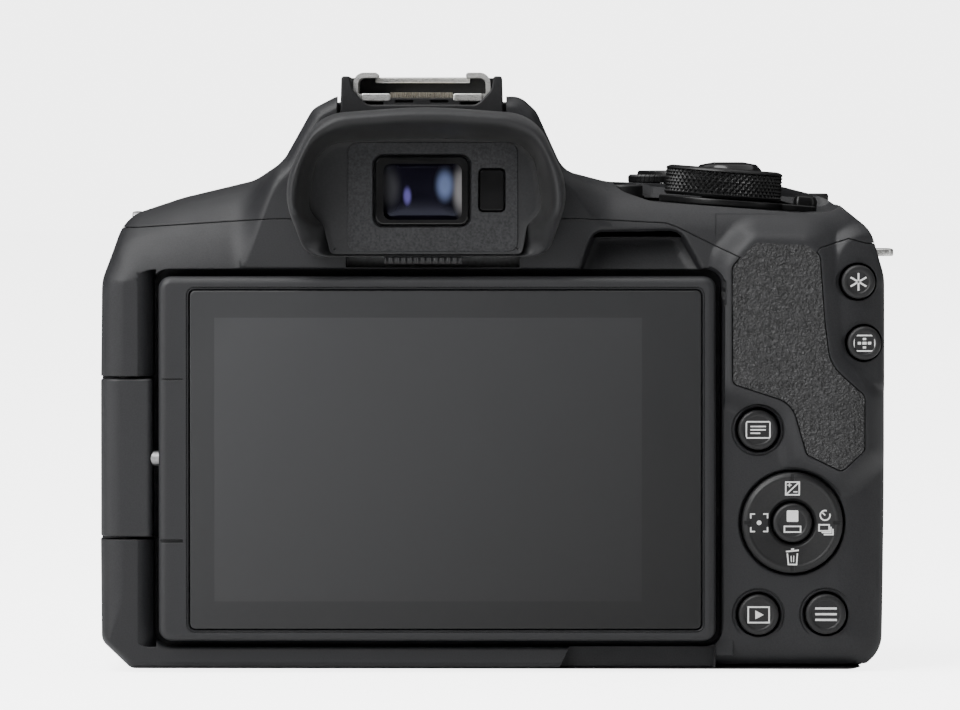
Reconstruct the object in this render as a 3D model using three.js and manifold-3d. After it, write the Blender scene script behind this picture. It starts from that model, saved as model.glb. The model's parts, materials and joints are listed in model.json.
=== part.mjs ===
// A mirrorless interchangeable-lens camera with a swing-out monitor and a kit zoom lens.
// Millimetres. +X is to the right as the user sees the back, +Y points at the subject, +Z is up.
// The origin is under the middle of the whole camera, on the plane that it stands on.
import * as THREE from 'three';
import { mergeVertices } from 'three/addons/utils/BufferGeometryUtils.js';
import Module from 'manifold-3d';

const wasm = await Module();
wasm.setup();

// Driving dimensions. A depth is measured forwards from the flat of the rear cover.
const rearPlaneY = -34.4;
const bodyLeft = -59.3;
const bodyRight = 57.4;
const bodyDepth = 30;
const gripDepth = 55.3;
const wall = 2.2;
const gap = 0.3;
const splitDepth = 11.5;
const seamZ = 65;
const plateTop = 2;
const hump = { left: -25.4, right: 2.6, noseDepth: 36 };
const lens = { x: -11.3, z: 37.5, frontDepth: 82.3, turret: 33 };
const swing = { x: -55.3, depth: 4, r: 3.95, low: 20.1, high: 43.3 };
const tilt = { depth: 1.6, z: 31.6, r: 1.9 };
const monitor = { left: -50.5, right: 32.2, low: 4.6, high: 58.7, rear: -2.2, front: 5.3 };
const recess = { left: -51.3, right: 33, low: 3.6, high: 60, depth: 6.3 };
const modeDial = { x: 33.6, depth: 14, z: 70.2, r: 8.8, height: 4.5, lean: 4.4 };
const mainDial = { x: 28.3, depth: 35, z: 72.4, r: 8.5 };
const shutter = { x: 35.5, depth: 48, r: 5.2, z: 72.6 };
const crossKeys = { x: 43.6, z: 22.1, r: 7.8, holeR: 3.45 };
const flashAxis = { depth: 9.5, z: 82.9 };
const door = { hingeX: 51.6, hingeZ: 0.9 };

const camera = new THREE.Group();
const depthY = (depth) => rearPlaneY + depth;

// ---- geometry helpers ----

// Rounds the corners of a closed outline of [a, b, radius] points with short arcs.
function rounded(points, arcSteps = 3) {
  const outline = [];
  points.forEach(([a, b, radius = 0], index) => {
    const corner = new THREE.Vector2(a, b);
    const before = points[(index + points.length - 1) % points.length];
    const after = points[(index + 1) % points.length];
    const back = new THREE.Vector2(before[0], before[1]).sub(corner).normalize();
    const ahead = new THREE.Vector2(after[0], after[1]).sub(corner).normalize();
    const half = Math.acos(THREE.MathUtils.clamp(back.dot(ahead), -1, 1)) / 2;
    if (radius === 0 || half > 1.55) {
      outline.push(corner);
      return;
    }
    const reach = radius / Math.tan(half);
    const middle = back.clone().add(ahead).normalize().multiplyScalar(radius / Math.sin(half)).add(corner);
    const start = back.clone().multiplyScalar(reach).add(corner).sub(middle);
    const end = ahead.clone().multiplyScalar(reach).add(corner).sub(middle);
    const sweep = Math.atan2(start.cross(end), start.dot(end));
    for (let step = 0; step <= arcSteps; step++) {
      const turned = start.clone().rotateAround(new THREE.Vector2(), (sweep * step) / arcSteps);
      outline.push(turned.add(middle));
    }
  });
  return outline;
}

// Moves every side of an anticlockwise outline inwards by a distance, and tightens its radii.
function inset(points, distance) {
  const sides = points.map(([a, b], index) => {
    const [nextA, nextB] = points[(index + 1) % points.length];
    const along = new THREE.Vector2(nextA - a, nextB - b).normalize();
    return { along, inward: new THREE.Vector2(-along.y, along.x) };
  });
  return points.map(([a, b, radius = 0], index) => {
    const one = sides[(index + points.length - 1) % points.length];
    const two = sides[index];
    const sum = one.inward.clone().add(two.inward);
    const shift = sum.multiplyScalar(distance / (1 + one.inward.dot(two.inward)));
    const convex = one.along.cross(two.along) > 0;
    return [a + shift.x, b + shift.y, Math.max(radius + (convex ? -distance : distance), 0.3)];
  });
}

// Carries a closed outline along one axis: (x, z) along y, (x, y) along z, or (y, z) along x.
function slab(points, axis, low, high, arcSteps = 3) {
  const shape = new THREE.Shape(rounded(points, arcSteps));
  const geometry = new THREE.ExtrudeGeometry(shape, { depth: high - low, bevelEnabled: false });
  if (axis === 'y') geometry.rotateX(Math.PI / 2).translate(0, high, 0);
  if (axis === 'z') geometry.translate(0, 0, low);
  if (axis === 'x') geometry.rotateX(Math.PI / 2).rotateZ(Math.PI / 2).translate(low, 0, 0);
  return geometry;
}

const rectangle = (left, low, right, high, radius = 0) => [
  [left, low, radius], [right, low, radius], [right, high, radius], [left, high, radius],
];

// A box between two depths, with its x-z corners rounded.
function block(left, right, rear, front, low, high, radius = 0) {
  return slab(rectangle(left, low, right, high, radius), 'y', depthY(rear), depthY(front));
}

// Turns a closed profile of [radius, height] points round z.
function turned(profile, sides = 20) {
  const points = profile.map(([radius, height]) => new THREE.Vector2(radius, height));
  return new THREE.LatheGeometry(points, sides).rotateX(Math.PI / 2);
}

// A plain round bar with its low end at height low.
function bar(radius, low, high, sides = 18) {
  return turned([[0, low], [radius, low], [radius, high], [0, high]], sides);
}

const facingBack = (geometry, x, depth, z) => geometry.rotateX(Math.PI / 2).translate(x, depthY(depth), z);
const facingFront = (geometry, x, depth, z) => geometry.rotateX(-Math.PI / 2).translate(x, depthY(depth), z);
const upright = (geometry, x, depth, z) => geometry.translate(x, depthY(depth), z);
const sideways = (geometry, x, depth, z) => geometry.rotateY(Math.PI / 2).translate(x, depthY(depth), z);

// A three.js geometry as a closed solid with its faces pointing out.
function solidOf(geometry) {
  const bare = geometry.index ? geometry.toNonIndexed() : geometry.clone();
  bare.deleteAttribute('normal');
  bare.deleteAttribute('uv');
  const merged = mergeVertices(bare, 1e-4);
  const make = (triVerts) => new wasm.Manifold(new wasm.Mesh({
    numProp: 3, vertProperties: merged.attributes.position.array, triVerts,
  }));
  const corners = Uint32Array.from(merged.index.array);
  const solid = make(corners);
  return solid.volume() > 0 ? solid : make(corners.reverse());
}

function geometryOf(solid) {
  const mesh = solid.getMesh();
  const geometry = new THREE.BufferGeometry();
  geometry.setAttribute('position', new THREE.BufferAttribute(Float32Array.from(mesh.vertProperties), 3));
  geometry.setIndex(new THREE.BufferAttribute(Uint32Array.from(mesh.triVerts), 1));
  return geometry;
}

const join = (...shapes) => geometryOf(shapes.map(solidOf).reduce((whole, next) => whole.add(next)));
const cut = (shape, ...tools) => geometryOf(tools.map(solidOf).reduce((left, tool) => left.subtract(tool), solidOf(shape)));
const common = (...shapes) => geometryOf(shapes.map(solidOf).reduce((whole, next) => whole.intersect(next)));

// Finishes of the real materials.
const finishes = {
  bodyPlastic: [0x3a3a3c, 0.62, 0],
  darkPlastic: [0x1c1c1e, 0.5, 0],
  glossPlastic: [0x141416, 0.2, 0],
  rubber: [0x2a2a2b, 0.85, 0],
  steel: [0xb8b8b4, 0.3, 1],
  brass: [0xb08d4a, 0.35, 1],
  glass: [0x2a2c34, 0.05, 0],
  circuit: [0x1d4a30, 0.6, 0],
  label: [0x9a9a98, 0.5, 0],
};

function piece(name, geometry, finish) {
  const [color, roughness, metalness] = finishes[finish];
  const flat = geometryOf(solidOf(geometry)).toNonIndexed();
  flat.computeVertexNormals();
  const mesh = new THREE.Mesh(flat, new THREE.MeshStandardMaterial({ color, roughness, metalness }));
  mesh.name = name;
  camera.add(mesh);
}

// ---- the outer form that the covers are cut from ----

// The body from the back, and from above below and above the ledge for the dials.
const silhouette = [
  [-55.6, 0, 1.5], [54.5, 0, 2.5], [bodyRight, 6, 4], [bodyRight, 60, 6], [53.5, 68.2, 4],
  [42.5, 72, 5], [13.5, 72.8, 5], [8.3, 76.5, 3], [4.8, 85.3, 3], [-24.5, 85.3, 3],
  [-27.9, 83.6, 3], [-32.2, 75.6, 4], [-36, 73.2, 4], [-50.5, 69.2, 6], [-56.2, 66.2, 5],
  [bodyLeft, 56, 6], [bodyLeft, 3.5, 2],
];
const plan = (neckX, neckDepth, noseX) => [
  [bodyLeft, depthY(0), 4], [bodyRight, depthY(0), 3], [bodyRight, depthY(44), 9],
  [50, depthY(gripDepth), 7], [noseX, depthY(gripDepth), 7], [neckX, depthY(neckDepth), 5],
  [bodyLeft, depthY(bodyDepth), 5],
];
const lowPlan = plan(25, bodyDepth, 35);
const highPlan = plan(13, bodyDepth, 31);
const ledgeZ = 61;
const sideForm = [
  [depthY(-1), -1], [depthY(60), -1], [depthY(60), 55], [depthY(gripDepth - 1), 70, 3],
  [depthY(50), 72.2, 3], [depthY(31), 72.2], [depthY(31), 90], [depthY(-1), 90],
];

function outerForm(thickness) {
  const low = slab(inset(lowPlan, thickness), 'z', -1, ledgeZ + thickness);
  const high = slab(inset(highPlan, thickness), 'z', ledgeZ + thickness - 0.01, 90);
  const fromBack = slab(inset(silhouette, thickness), 'y', depthY(-2), depthY(60));
  const fromSide = slab(inset(sideForm, thickness), 'x', -70, 70);
  return common(join(low, high), fromBack, fromSide);
}

const everything = { left: -80, right: 80, rear: -20, front: 90 };
const layer = (low, high) => block(everything.left, everything.right, everything.rear, everything.front, low, high);
const behind = (depth) => block(everything.left, everything.right, everything.rear, depth, -5, 95);
const ahead = (depth) => block(everything.left, everything.right, depth, everything.front, -5, 95);
const outer = outerForm(0);
const shell = cut(outer, outerForm(wall));

// Holes that go through the rear cover, one for each round button: x, z, radius.
const rearButtons = {
  ae_lock_button: [53.3, 57.9, 2.5, -1.9],
  af_point_button: [54.2, 48.8, 2.5, -1.9],
  info_button: [38.5, 35.9, 3, -0.7],
  set_button: [crossKeys.x, crossKeys.z, 3.07, -1],
  play_button: [38.6, 8.4, 3, -0.7],
  menu_button: [48.6, 8.5, 3, -0.7],
};
const buttonClearance = 0.25;
const viewfinder = { left: -22.4, right: 2.8, low: 64.8, high: 78.6 };

const grownBox = (box, grow, rear, front, radius = 0) =>
  block(box.left - grow, box.right + grow, rear, front, box.low - grow, box.high + grow, radius);

// ---- covers ----

function makeRearCover() {
  const sheet = common(shell, behind(splitDepth - gap / 2), layer(plateTop + gap, seamZ - gap / 2));
  const pocket = common(grownBox(recess, 1.8, 0.4, recess.depth + 1.8), outer, layer(plateTop + gap, seamZ));
  const hingeWalls = common(block(bodyLeft, -49.5, 0.4, splitDepth - gap / 2, 17.6, 45.8), outer);
  const notchBacking = block(9.5, 34.5, 0.4, 6, 59, seamZ - gap / 2);
  const buttonPad = slab([
    [50.2, 44, 2], [57.3, 44, 1], [57.3, 63.4, 1.5], [49.6, 63.4, 2],
  ], 'y', depthY(-1.2), depthY(2.2));
  const topNotch = slab([
    [11.9, 58.5], [33.5, 58.5], [30, 61.5, 2], [27.5, 64.2, 1.5], [14.6, 64.4, 1.5],
  ], 'y', depthY(-1), depthY(3.6));
  const bottomNotch = slab([
    [10.7, 1], [29, 1], [31.5, 4.2], [8.5, 4.2],
  ], 'y', depthY(-1), depthY(1.6));
  const columnEdge = cut(
    block(swing.x, -50.9, -1, swing.depth, 1, 61),
    upright(bar(4.1, 0, 62, 32), swing.x, swing.depth, 0),
  );
  const columnEdgeInRecess = common(columnEdge, layer(recess.low, recess.high));
  const holes = Object.values(rearButtons).map(([x, z, radius]) =>
    facingBack(bar(radius + buttonClearance, -8, 4), x, 0, z));
  return cut(
    join(sheet, pocket, hingeWalls, notchBacking, buttonPad),
    grownBox(recess, 0, -1, recess.depth),
    topNotch,
    bottomNotch,
    columnEdgeInRecess,
    block(-60, -51, -1, 8.6, 19.6, 43.8),
    upright(bar(1.6, 18, 45.4), swing.x, swing.depth, 0),
    facingBack(bar(crossKeys.r + 0.35, -8, 4, 32), crossKeys.x, 0, crossKeys.z),
    grownBox(viewfinder, gap, -1, 9),
    ...holes,
  );
}

function makeFrontCover() {
  const sheet = common(shell, ahead(splitDepth + gap / 2), layer(plateTop + gap, seamZ - gap / 2));
  const turret = cut(
    facingFront(bar(lens.turret, bodyDepth - wall, 36.5, 40), lens.x, 0, lens.z),
    layer(seamZ - gap / 2, 90),
  );
  const chin = block(-33, 10, bodyDepth - wall, 36.5, plateTop + gap, 14);
  const mountHole = facingFront(bar(28, bodyDepth - 4, 40, 36), lens.x, 0, lens.z);
  const rubberBed = cut(
    block(24, 62, 17.6, 60, 5.6, 58.4),
    slab(inset(lowPlan, 1.2), 'z', 0, 62),
  );
  const terminalDoor = block(bodyLeft - 1, bodyLeft + 3, 13.2, 26.9, 13.7, 52.3, 1);
  const releaseHole = facingFront(bar(3.1, bodyDepth - 3, 40), -47.5, 0, 31);
  const lugSlots = [block(54, 60, 12.7, 23.3, 61.2, 62.9), block(-55.3, -53.5, 12.7, 23.3, 63, 70)];
  const hub = slab(rectangle(-47.5 - 4.2, 31 - 4.2, -38, 31 + 4.2, 3), 'y', depthY(28), depthY(34));
  return cut(
    join(sheet, turret, chin, hub),
    mountHole, rubberBed, terminalDoor, releaseHole, ...lugSlots,
  );
}

function makeTopCover() {
  const sheet = common(shell, layer(seamZ + gap / 2, 90));
  const nose = common(
    block(-29, 7, bodyDepth - wall, hump.noseDepth, seamZ + gap / 2, 90),
    slab(silhouette, 'y', depthY(0), depthY(50)),
    slab([
      [depthY(20), 60], [depthY(33), 60], [depthY(36), 70, 3], [depthY(35), 90], [depthY(20), 90],
    ], 'x', -40, 20),
  );
  const deck = slab([[21.5, 69.4], [60, 66.4], [60, 82], [21.5, 82]], 'y', depthY(-1), depthY(25.2));
  const deckFloor = cut(
    slab([[21, 67.2], [54, 64.7 + gap], [54, 66.9], [21, 69.5]], 'y', depthY(1), depthY(26.5)),
    layer(0, seamZ + gap / 2),
  );
  const flashBay = block(hump.left - 0.5, hump.right + 0.5, 24.6, 40, 76.6, 90);
  const armBays = [[hump.left - 0.4, -23.6], [0.8, hump.right + 0.4]].map(([left, right]) =>
    block(left, right, 6.3, 25, 80.6, 90));
  const wells = [
    upright(bar(mainDial.r + 0.4, 72, 80, 36), mainDial.x, mainDial.depth, 0),
    upright(bar(3.5, 60, 80), mainDial.x, mainDial.depth, 0),
    upright(bar(shutter.r + 0.4, 60, 80, 28), shutter.x, shutter.depth, 0),
    upright(bar(2.85, 60, 80), 19.2, 22.5, 0),
    upright(bar(2.65, 60, 80), 48, 34.5, 0),
    leaning(bar(3.7, -9, 1)),
  ];
  return cut(
    join(cut(join(sheet, nose), deck), deckFloor),
    flashBay, ...armBays, ...wells,
    block(-23.7, 0.85, 2.4, 24.7, 82.5, 90),
    grownBox(viewfinder, gap, -1, 9),
    block(-55.3, -53.5, 12.7, 23.3, 63, 70),
  );
}

// Puts a shape that stands on z = 0 onto the leaning axis of the mode dial.
function leaning(geometry) {
  return upright(geometry.rotateY(THREE.MathUtils.degToRad(modeDial.lean)), modeDial.x, modeDial.depth, modeDial.z);
}

function makeBottomPlate() {
  const foot = inset(lowPlan, 2.8);
  const base = join(slab(foot, 'z', 0, plateTop), block(-31, 8, 20, 35.5, 0, plateTop));
  const doorHole = slab([
    [28.2, depthY(8.7)], [door.hingeX + 1.7, depthY(8.7)], [door.hingeX + 1.7, depthY(44.3)],
    [48.8, depthY(48.3)], [37.5, depthY(48.3)], [28.2, depthY(29)],
  ], 'z', -1, 3);
  return cut(
    base,
    doorHole,
    upright(bar(6.3, -1, 3, 32), lens.x, 18, 0),
    ...baseScrews.map(([x, depth]) => upright(bar(1.8, -1, 3), x, depth, 0)),
  );
}
const baseScrews = [[-51, 15], [19, 24]];

// The rubber skin that wraps round the front grip.
function makeGripRubber() {
  const band = cut(slab(lowPlan, 'z', 6, 58, 6), slab(inset(lowPlan, 0.9), 'z', 0, 62, 6));
  return common(band, block(26.5, 62, 18, 60, 0, 62));
}

function makeThumbRubber() {
  return slab([
    [34.5, 60.2, 2], [37.9, 63.9, 1.2], [45.9, 63.5, 2], [47.7, 61.8, 1.5], [48.4, 52], [49.2, 45.6, 6],
    [54.4, 41, 1.5], [54.4, 32.8, 1], [50.9, 29.6, 1.2], [45.6, 32.2, 1.2], [43.4, 39.8, 4], [34.6, 42.7, 1],
  ].reverse(), 'y', depthY(-2.6), depthY(-gap));
}

piece('rear_cover', makeRearCover(), 'bodyPlastic');
piece('front_cover', makeFrontCover(), 'bodyPlastic');
piece('top_cover', makeTopCover(), 'bodyPlastic');
piece('bottom_plate', makeBottomPlate(), 'darkPlastic');
piece('grip_rubber', makeGripRubber(), 'rubber');
piece('thumb_rubber', makeThumbRubber(), 'rubber');

// ---- viewfinder ----

const eyecup = { left: -31.6, right: 10.1, low: 61.8, high: 83.4, rim: -13.5 };
const eyecupHood = [
  [eyecup.left + 1, eyecup.low, 3], [eyecup.right - 1, eyecup.low, 3], [eyecup.right, 72, 8],
  [4.2, eyecup.high - 0.5, 6], [-10.8, eyecup.high + 0.1, 30], [-25.6, eyecup.high - 0.5, 6],
  [eyecup.left, 72, 8],
];
const eyecupHollow = [
  [-24.2, 64.6, 2], [2.4, 64.6, 2], [6.1, 68, 3], [5.2, 78.6, 5], [-27.3, 78.6, 5], [-28.2, 68, 3],
];
piece('eyecup', cut(
  slab(eyecupHood, 'y', depthY(eyecup.rim), depthY(-gap)),
  slab(eyecupHollow, 'y', depthY(-15), depthY(-2.4)),
  grownBox(viewfinder, gap, -5, 1),
), 'rubber');
piece('viewfinder_frame', cut(
  grownBox(viewfinder, 0, -3, 7, 1.5),
  block(-18.6, -4.2, -4, -0.9, 66.1, 76.8, 1.5),
  block(-17.6, -5, -2, 8, 66.6, 75.9, 1.2),
  block(-3.1, 1, -4, -1, 68.2, 74.8, 0.8),
), 'darkPlastic');
piece('eyepiece_lens', block(-17.4, -5.2, -0.6, 2.4, 66.8, 75.7, 1.2), 'glass');
piece('eye_sensor_window', block(-2.9, 0.8, -2.6, -1.2, 68.4, 74.6, 0.6), 'glossPlastic');
piece('viewfinder_display', block(-17, -5.6, 14, 18, 67.4, 75.4), 'glossPlastic');
piece('diopter_slider', block(-17, -5.5, -3.2, -gap, 60.5, 61.6, 0.3), 'darkPlastic');

// ---- accessory shoe ----

piece('shoe_housing', cut(
  block(-23.3, 0.45, 2.8, 23.2, 82.8, 88.3, 0.5),
  block(-21.8, -1.05, 1, 22.4, 84.8, 90),
), 'darkPlastic');
piece('shoe_rails', cut(
  block(-21.5, -1.4, 3.2, 22.1, 85.1, 88.9, 0.8),
  block(-20.7, -2.2, 2, 21.5, 85.8, 88.1),
  block(-17.7, -5.2, 2, 23, 86, 90),
  block(-16.4, -6.6, 15.8, 23, 84, 86.5),
), 'steel');
piece('shoe_contacts', block(-16.1, -6.9, 16.2, 21.2, 85.1, 86.1), 'brass');

// ---- pop-up flash ----

piece('flash_housing', cut(
  join(
    block(hump.left, hump.right, 25.1, 36.4, 77, 84.7, 1),
    block(hump.left, hump.left + 1.4, 7.2, 26, 81.2, 84.6, 0.5),
    block(hump.right - 1.4, hump.right, 7.2, 26, 81.2, 84.6, 0.5),
  ),
  block(-21, -1.8, 35.1, 38, 78.2, 83.6),
), 'bodyPlastic');
piece('flash_window', block(-20.7, -2.1, 35.4, 36.4, 78.5, 83.3), 'label');

// ---- monitor ----

const swingPost = (geometry) => upright(geometry, swing.x, swing.depth, 0);
const tiltBar = (radius, left, right) => sideways(bar(radius, left, right), 0, tilt.depth, tilt.z);
piece('hinge_block', cut(
  join(
    swingPost(bar(swing.r, swing.low, swing.high, 32)),
    slab(rectangle(swing.x, depthY(0.1), -51.4, depthY(6.5), 0.4), 'z', swing.low, swing.high),
  ),
  swingPost(bar(1.6, 10, 50)),
  tiltBar(2.1, -53.6, -50),
), 'bodyPlastic');
piece('hinge_pin', swingPost(bar(1.3, 18.2, 45.2)), 'steel');
piece('tilt_shaft', tiltBar(tilt.r, -53.3, -44), 'steel');
piece('monitor_bezel', cut(
  grownBox(monitor, 0, monitor.rear, 0.4, 1.8),
  block(-46.1, 30.3, -3, -1, 6.1, 56.9, 1.2),
  block(-44.4, 28.6, -3, 2, 8, 55, 0.8),
  tiltBar(2.2, -60, -43.6),
), 'bodyPlastic');
piece('monitor_back', cut(
  grownBox(monitor, -0.05, 0.7, monitor.front, 1.8),
  block(-43.4, 30.6, 0, 3.6, 6.4, 56.9),
  block(-48.6, -43.2, 0, 3.9, 6.4, 27),
  block(-48.6, -43.2, 0, 3.9, 36, 56.9),
  tiltBar(2.2, -60, -43),
), 'darkPlastic');
piece('monitor_glass', block(-45.8, 30, -2.3, -1.2, 6.4, 56.6, 1), 'glass');
piece('display_panel', block(-42.8, 21.9, -0.9, 2.2, 9.9, 53.2), 'glossPlastic');

// ---- controls on the top ----

// A round knob's rim with finger ridges: one shallow V between every two teeth.
function ridgedRim(radius, depth, teeth, low, high) {
  const outline = [];
  for (let tooth = 0; tooth < teeth; tooth++) {
    [radius, radius - depth].forEach((reach, half) => {
      const angle = ((tooth + half / 2) / teeth) * 2 * Math.PI;
      outline.push([reach * Math.cos(angle), reach * Math.sin(angle)]);
    });
  }
  return slab(outline, 'z', low, high);
}

piece('mode_dial', leaning(join(
  ridgedRim(modeDial.r, 0.35, 32, 0.1, modeDial.height - 0.4),
  bar(modeDial.r - 0.9, modeDial.height - 0.5, modeDial.height, 32),
  bar(3.2, -7.5, 1),
)), 'darkPlastic');
piece('power_lever', leaning(cut(
  join(
    bar(9.5, -1.1, -0.2, 32),
    slab([[7, -3.2, 0.5], [14.2, -2.2, 1.5], [14.2, 2.2, 1.5], [7, 3.2, 0.5]], 'z', -1.1, -0.2),
    slab([[10.6, -2.6, 0.5], [14.2, -2.2, 1.5], [14.2, 2.2, 1.5], [10.6, 2.6, 0.5]], 'z', -1.1, 1.4),
  ),
  bar(3.7, -3, 2),
)), 'darkPlastic');
piece('main_dial', upright(join(
  ridgedRim(mainDial.r, 0.4, 28, mainDial.z, 73.7),
  bar(7, 73.6, 74.3, 28),
  bar(3.1, 66, 73),
), mainDial.x, mainDial.depth, 0), 'darkPlastic');
piece('shutter_button', upright(turned([
  [0, 68], [shutter.r, 68], [shutter.r, 74.4], [4, 75.3], [2, 75.5], [0, 75.4],
], 28), shutter.x, shutter.depth, 0), 'glossPlastic');
piece('movie_button', upright(bar(2.6, 68.6, 72.2), 19.2, 22.5, 0), 'darkPlastic');
piece('iso_button', upright(bar(2.4, 66.4, 70.8), 48, 34.5, 0), 'darkPlastic');

// ---- controls on the back ----

for (const [name, [x, z, radius, rear]] of Object.entries(rearButtons)) {
  const domed = [[0, -4.5], [radius, -4.5], [radius, -rear - 0.3], [radius - 0.4, -rear], [0, -rear]];
  piece(name, facingBack(turned(domed, 18), x, 0, z), 'darkPlastic');
}
piece('cross_key_ring', facingBack(turned([
  [crossKeys.holeR, -1.6], [crossKeys.r, -1.6], [crossKeys.r, 0.6], [crossKeys.r - 0.7, 1],
  [crossKeys.holeR + 0.6, 0.7], [crossKeys.holeR, 0.4], [crossKeys.holeR, -1.6],
], 28), crossKeys.x, 0, crossKeys.z), 'darkPlastic');
piece('cross_key_pivot', facingBack(turned([
  [3.6, -3.4], [6.5, -3.4], [6.5, -2.6], [3.6, -2.6], [3.6, -3.4],
], 24), crossKeys.x, 0, crossKeys.z), 'steel');

// ---- lens and its mount ----

function ring(name, profile, finish, sides = 36) {
  const closed = [...profile, profile[0]];
  piece(name, facingFront(turned(closed, sides), lens.x, 0, lens.z), finish);
}
ring('mount_ring', [[26.2, 36.8], [32, 36.8], [32, 38], [26.2, 38]], 'steel');
ring('lens_barrel', [
  [25.5, 38.3], [34.3, 38.3], [34.3, 49.8], [32.2, 49.8], [32.2, 74], [33.8, 74.2], [33.8, 79.4],
  [33.2, 80], [30.9, 80], [30.9, 41], [25.5, 41],
], 'darkPlastic');
ring('zoom_ring', [[32.5, 50.2], [34.5, 50.2], [34.8, 51], [34.8, 65], [34.5, 65.6], [32.5, 65.6]], 'rubber');
ring('control_ring', [[32.5, 66], [34.4, 66], [34.4, 73.6], [32.5, 73.6]], 'darkPlastic');
ring('inner_barrel', [
  [29, 44], [30.5, 44], [30.5, lens.frontDepth], [28.4, lens.frontDepth], [28.2, 81],
  [21.4, 79], [21.4, 76], [29, 75],
], 'darkPlastic');
piece('front_lens', facingFront(turned([
  [0, 74.2], [21, 74.2], [21, 77.2], [14, 79], [7, 79.8], [0, 80],
], 36), lens.x, 0, lens.z), 'glass');
piece('lens_release_button', facingFront(bar(2.8, 29, 35.2), -47.5, 0, 31), 'darkPlastic');

// ---- battery door and base ----

piece('battery_door', cut(
  slab([
    [28.5, depthY(9)], [door.hingeX, depthY(9)], [door.hingeX, depthY(43)], [48.6, depthY(48)],
    [37.7, depthY(48)], [28.5, depthY(29)],
  ], 'z', 0, plateTop - 0.2),
  block(29.9, 38.1, 15.9, 24.1, -1, 3),
), 'darkPlastic');
piece('battery_latch', join(
  block(30.2, 34.8, 16.2, 23.8, 0.2, 1.6),
  block(31, 31.8, 16.6, 23.4, 0.05, 0.4),
), 'darkPlastic');
piece('battery', block(38, 51, 15.5, 48, 4, 53), 'label');
piece('memory_card', block(31.5, 33.6, 13, 37, 4, 36), 'darkPlastic');
piece('tripod_socket', upright(turned([
  [3.2, 0.05], [6, 0.05], [6, 2.3], [7.4, 2.3], [7.4, 5.6], [3.2, 5.6], [3.2, 0.05],
], 28), lens.x, 18, 0), 'steel');
baseScrews.forEach(([x, depth], index) => {
  const head = join(bar(1.6, 0.2, 1.8, 16), bar(0.8, 1.7, 7, 12));
  const cross = join(
    slab(rectangle(-1, -0.2, 1, 0.2), 'z', 0, 0.9),
    slab(rectangle(-0.2, -1, 0.2, 1), 'z', 0, 0.9),
  );
  piece(`base_screw_${index + 1}`, upright(cut(head, cross), x, depth, 0), 'steel');
});

// ---- sides ----

piece('strap_lug_left', cut(
  slab(rectangle(depthY(13), 63.4, depthY(23), 68.2, 1), 'x', -55, -53.8),
  slab(rectangle(depthY(14.6), 66.6, depthY(21.4), 67.5, 0.3), 'x', -56, -52),
), 'steel');
piece('strap_lug_right', cut(
  slab(rectangle(54.4, depthY(13), 59.3, depthY(23), 1), 'z', 61.5, 62.6),
  slab(rectangle(57.7, depthY(14.3), 58.6, depthY(21.7), 0.3), 'z', 60, 64),
), 'steel');
piece('terminal_cover', slab(
  rectangle(depthY(13.5), 14, depthY(26.5), 52, 1), 'x', bodyLeft, bodyLeft + 1.5,
), 'rubber');
piece('terminal_block', cut(
  block(-57.2, -51.6, 13.8, 26, 15, 51),
  block(-58, -53, 16.5, 19.5, 20, 29, 1),
  sideways(bar(1.8, -58, -53), 0, 19.5, 44),
), 'steel');

// ---- inside ----

piece('chassis', cut(
  join(
    block(-49.5, 26, 9, 10.6, 6, 60),
    facingFront(bar(29.5, 10, 27.4, 36), lens.x, 0, lens.z),
  ),
  facingFront(bar(28, 10.6, 40, 36), lens.x, 0, lens.z),
  block(-26, 3.4, 8, 12, 27, 48),
), 'steel');
piece('main_board', join(
  block(-50.4, -43.6, 12, 13.2, 8, 58),
  block(-49.5, -45, 13.1, 14.8, 30, 38),
), 'circuit');
piece('image_sensor', block(lens.x - 13, lens.x + 13, 11.2, 17.6, lens.z - 9, lens.z + 9), 'glass');
piece('shutter_unit', cut(
  block(lens.x - 17, lens.x + 17, 18.4, 22.4, lens.z - 13, lens.z + 13),
  block(lens.x - 12, lens.x + 12, 18, 23, lens.z - 8, lens.z + 8),
), 'darkPlastic');

export default camera;
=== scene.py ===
import json
import math

import bmesh
import bpy
import numpy as np
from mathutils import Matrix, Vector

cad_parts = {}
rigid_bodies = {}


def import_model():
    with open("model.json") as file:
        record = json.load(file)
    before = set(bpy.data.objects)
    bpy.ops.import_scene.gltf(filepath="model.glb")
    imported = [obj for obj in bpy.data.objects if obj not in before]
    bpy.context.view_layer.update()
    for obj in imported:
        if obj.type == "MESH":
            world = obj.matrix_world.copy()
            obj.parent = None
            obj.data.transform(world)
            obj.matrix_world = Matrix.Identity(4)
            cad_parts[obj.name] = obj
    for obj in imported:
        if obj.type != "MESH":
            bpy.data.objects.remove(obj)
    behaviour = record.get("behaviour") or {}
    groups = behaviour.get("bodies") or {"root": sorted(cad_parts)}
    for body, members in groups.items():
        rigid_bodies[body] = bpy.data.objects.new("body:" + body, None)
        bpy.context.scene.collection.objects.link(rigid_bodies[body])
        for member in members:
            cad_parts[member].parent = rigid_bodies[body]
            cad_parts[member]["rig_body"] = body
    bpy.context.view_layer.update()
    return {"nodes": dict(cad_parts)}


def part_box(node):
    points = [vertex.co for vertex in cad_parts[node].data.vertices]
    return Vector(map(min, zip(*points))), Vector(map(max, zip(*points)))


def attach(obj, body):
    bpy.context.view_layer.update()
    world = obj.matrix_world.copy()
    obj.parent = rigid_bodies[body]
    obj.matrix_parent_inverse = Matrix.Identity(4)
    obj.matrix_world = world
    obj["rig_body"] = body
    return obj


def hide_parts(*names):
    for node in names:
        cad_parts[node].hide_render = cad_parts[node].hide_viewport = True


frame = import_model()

mm = 0.001
# the flat of the rear cover; depths run forwards from it
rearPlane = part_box("thumb_rubber")[1][1] / mm + 0.3


# outlines are (n, 2) arrays in millimetres

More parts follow.
